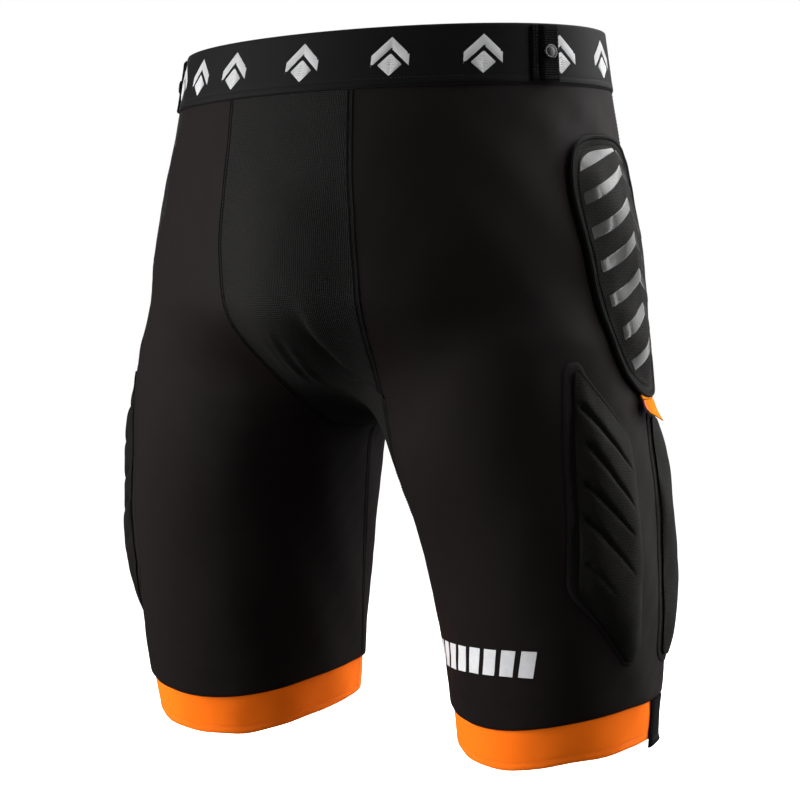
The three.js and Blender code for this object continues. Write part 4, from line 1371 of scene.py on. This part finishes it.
for name, side in SIDES:
    u = np.linspace(-9, 9, 13)[None]
    d = np.concatenate([[0], np.linspace(0.6, 14.2, 14), [14.7, 15.0]])[:, None]
    down, bow = loose(u, d)
    apart = np.clip((15.2 - d) / 1.4, 0.15, 1)
    pairs = [label_sheet(u, down, bow + k * apart, 0.2, side) for k in (-0.27, 0.27)]
    label = shells(
        f"pad_label_woven_{name}", pairs, label_fabric, f"label_{name}", "label_fabric"
    )
    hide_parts(f"pad_label_{name}")
    held = label_sheet(u, np.linspace(-3.4, -0.52, 7)[:, None], 0, 0.47, side)
    shells(f"pad_label_root_{name}", [held], label_fabric, slot="label_fabric")
    u, d = np.array([[-9.1, -8.0]]), np.linspace(0.2, 14.9, 30)[:, None]
    pair = label_sheet(u, *loose(u, d), 0.52, side)
    shells(f"pad_label_edge_{name}", [pair], label_edge, f"label_{name}", "label_fabric")

# ---------- stage, light and camera ----------
scene = bpy.context.scene
scene.view_settings.view_transform = "Standard"
world = bpy.data.worlds.new("studio")
scene.world = world
world.use_nodes = True
nodes, links = world.node_tree.nodes, world.node_tree.links
background = nodes["Background"]
background.inputs[0].default_value = (1, 1, 1, 1)
AMBIENT = 0.07  # the white world's light on the part, where it is seen at 1
level = nodes.new("ShaderNodeMath")
level.operation = "MULTIPLY_ADD"
level.inputs[1].default_value = 1.0 - AMBIENT
level.inputs[2].default_value = AMBIENT
links.new(nodes.new("ShaderNodeLightPath").outputs["Is Camera Ray"], level.inputs[0])
links.new(level.outputs[0], background.inputs[1])

FLOOR_REACH, FLOOR_Z = 14.0, -0.72
floor_mesh = bpy.data.meshes.new("studio_floor")
corners = [(x * FLOOR_REACH, y * FLOOR_REACH, FLOOR_Z) for x, y in ((-1, -1), (1, -1), (1, 1), (-1, 1))]
floor_mesh.from_pydata(corners, [], [(0, 1, 2, 3)])
floor = bpy.data.objects.new("studio_floor", floor_mesh)
scene.collection.objects.link(floor)
floor_look = Nodes("pale_floor", (0.9, 0.9, 0.9), 0.9, Emission_Color=(1, 1, 1, 1), Emission_Strength=1.0)
floor_mesh.materials.append(floor_look.material)
floor.visible_diffuse = floor.visible_glossy = floor.visible_transmission = False


def away(azimuth, elevation):
    """The direction towards a light or the camera, from angles in radians."""
    flat = math.cos(elevation)
    return Vector((math.sin(azimuth) * flat, -math.cos(azimuth) * flat, math.sin(elevation)))


def softbox(name, azimuth, elevation, distance, width, height, power):
    back = away(math.radians(azimuth), math.radians(elevation))
    light = bpy.data.lights.new(name, "AREA")
    light.shape, light.size, light.size_y, light.energy = "RECTANGLE", width, height, power
    obj = bpy.data.objects.new(name, light)
    obj.location = Vector((0, 0, -0.24)) + back * distance
    obj.rotation_mode = "QUATERNION"
    obj.rotation_quaternion = (-back).to_track_quat("-Z", "Y")
    obj.visible_camera = False
    scene.collection.objects.link(obj)


softbox("softbox_left", -54, 8, 1.6, 0.6, 1.7, 60)
softbox("softbox_right", 145, 48, 2.0, 1.9, 1.7, 90)
softbox("panel_right", 142, 6, 1.9, 1.5, 1.6, 34)
softbox("strip_right", 105, 13, 1.7, 0.15, 1.3, 16)
softbox("softbox_front", 4, -6, 2.0, 1.2, 1.2, 17)
softbox("softbox_back", 218, 22, 2.2, 1.2, 1.2, 24)
softbox("softbox_top", 20, 80, 1.8, 1.2, 1.2, 2)

AZ, EL, ROLL = (math.radians(v) for v in (34.081, 1.966, -0.426))
back = away(AZ, EL)
level_right = Vector((math.cos(AZ), math.sin(AZ), 0))
level_up = back.cross(level_right)
right = level_right * math.cos(ROLL) + level_up * math.sin(ROLL)
up = level_up * math.cos(ROLL) - level_right * math.sin(ROLL)
camera = bpy.data.objects.new("camera", bpy.data.cameras.new("camera"))
camera.rotation_mode = "QUATERNION"
place = Matrix.Translation(Vector((0, 0, -0.25)) + back * 1.4232)
camera.matrix_world = place @ Matrix((right, up, back)).transposed().to_4x4()
camera.data.sensor_width, camera.data.lens = 36, 93.48
camera.data.shift_x, camera.data.shift_y = 0.0131, 0.0205
camera.data.clip_start = 0.05
scene.collection.objects.link(camera)
scene.camera = camera
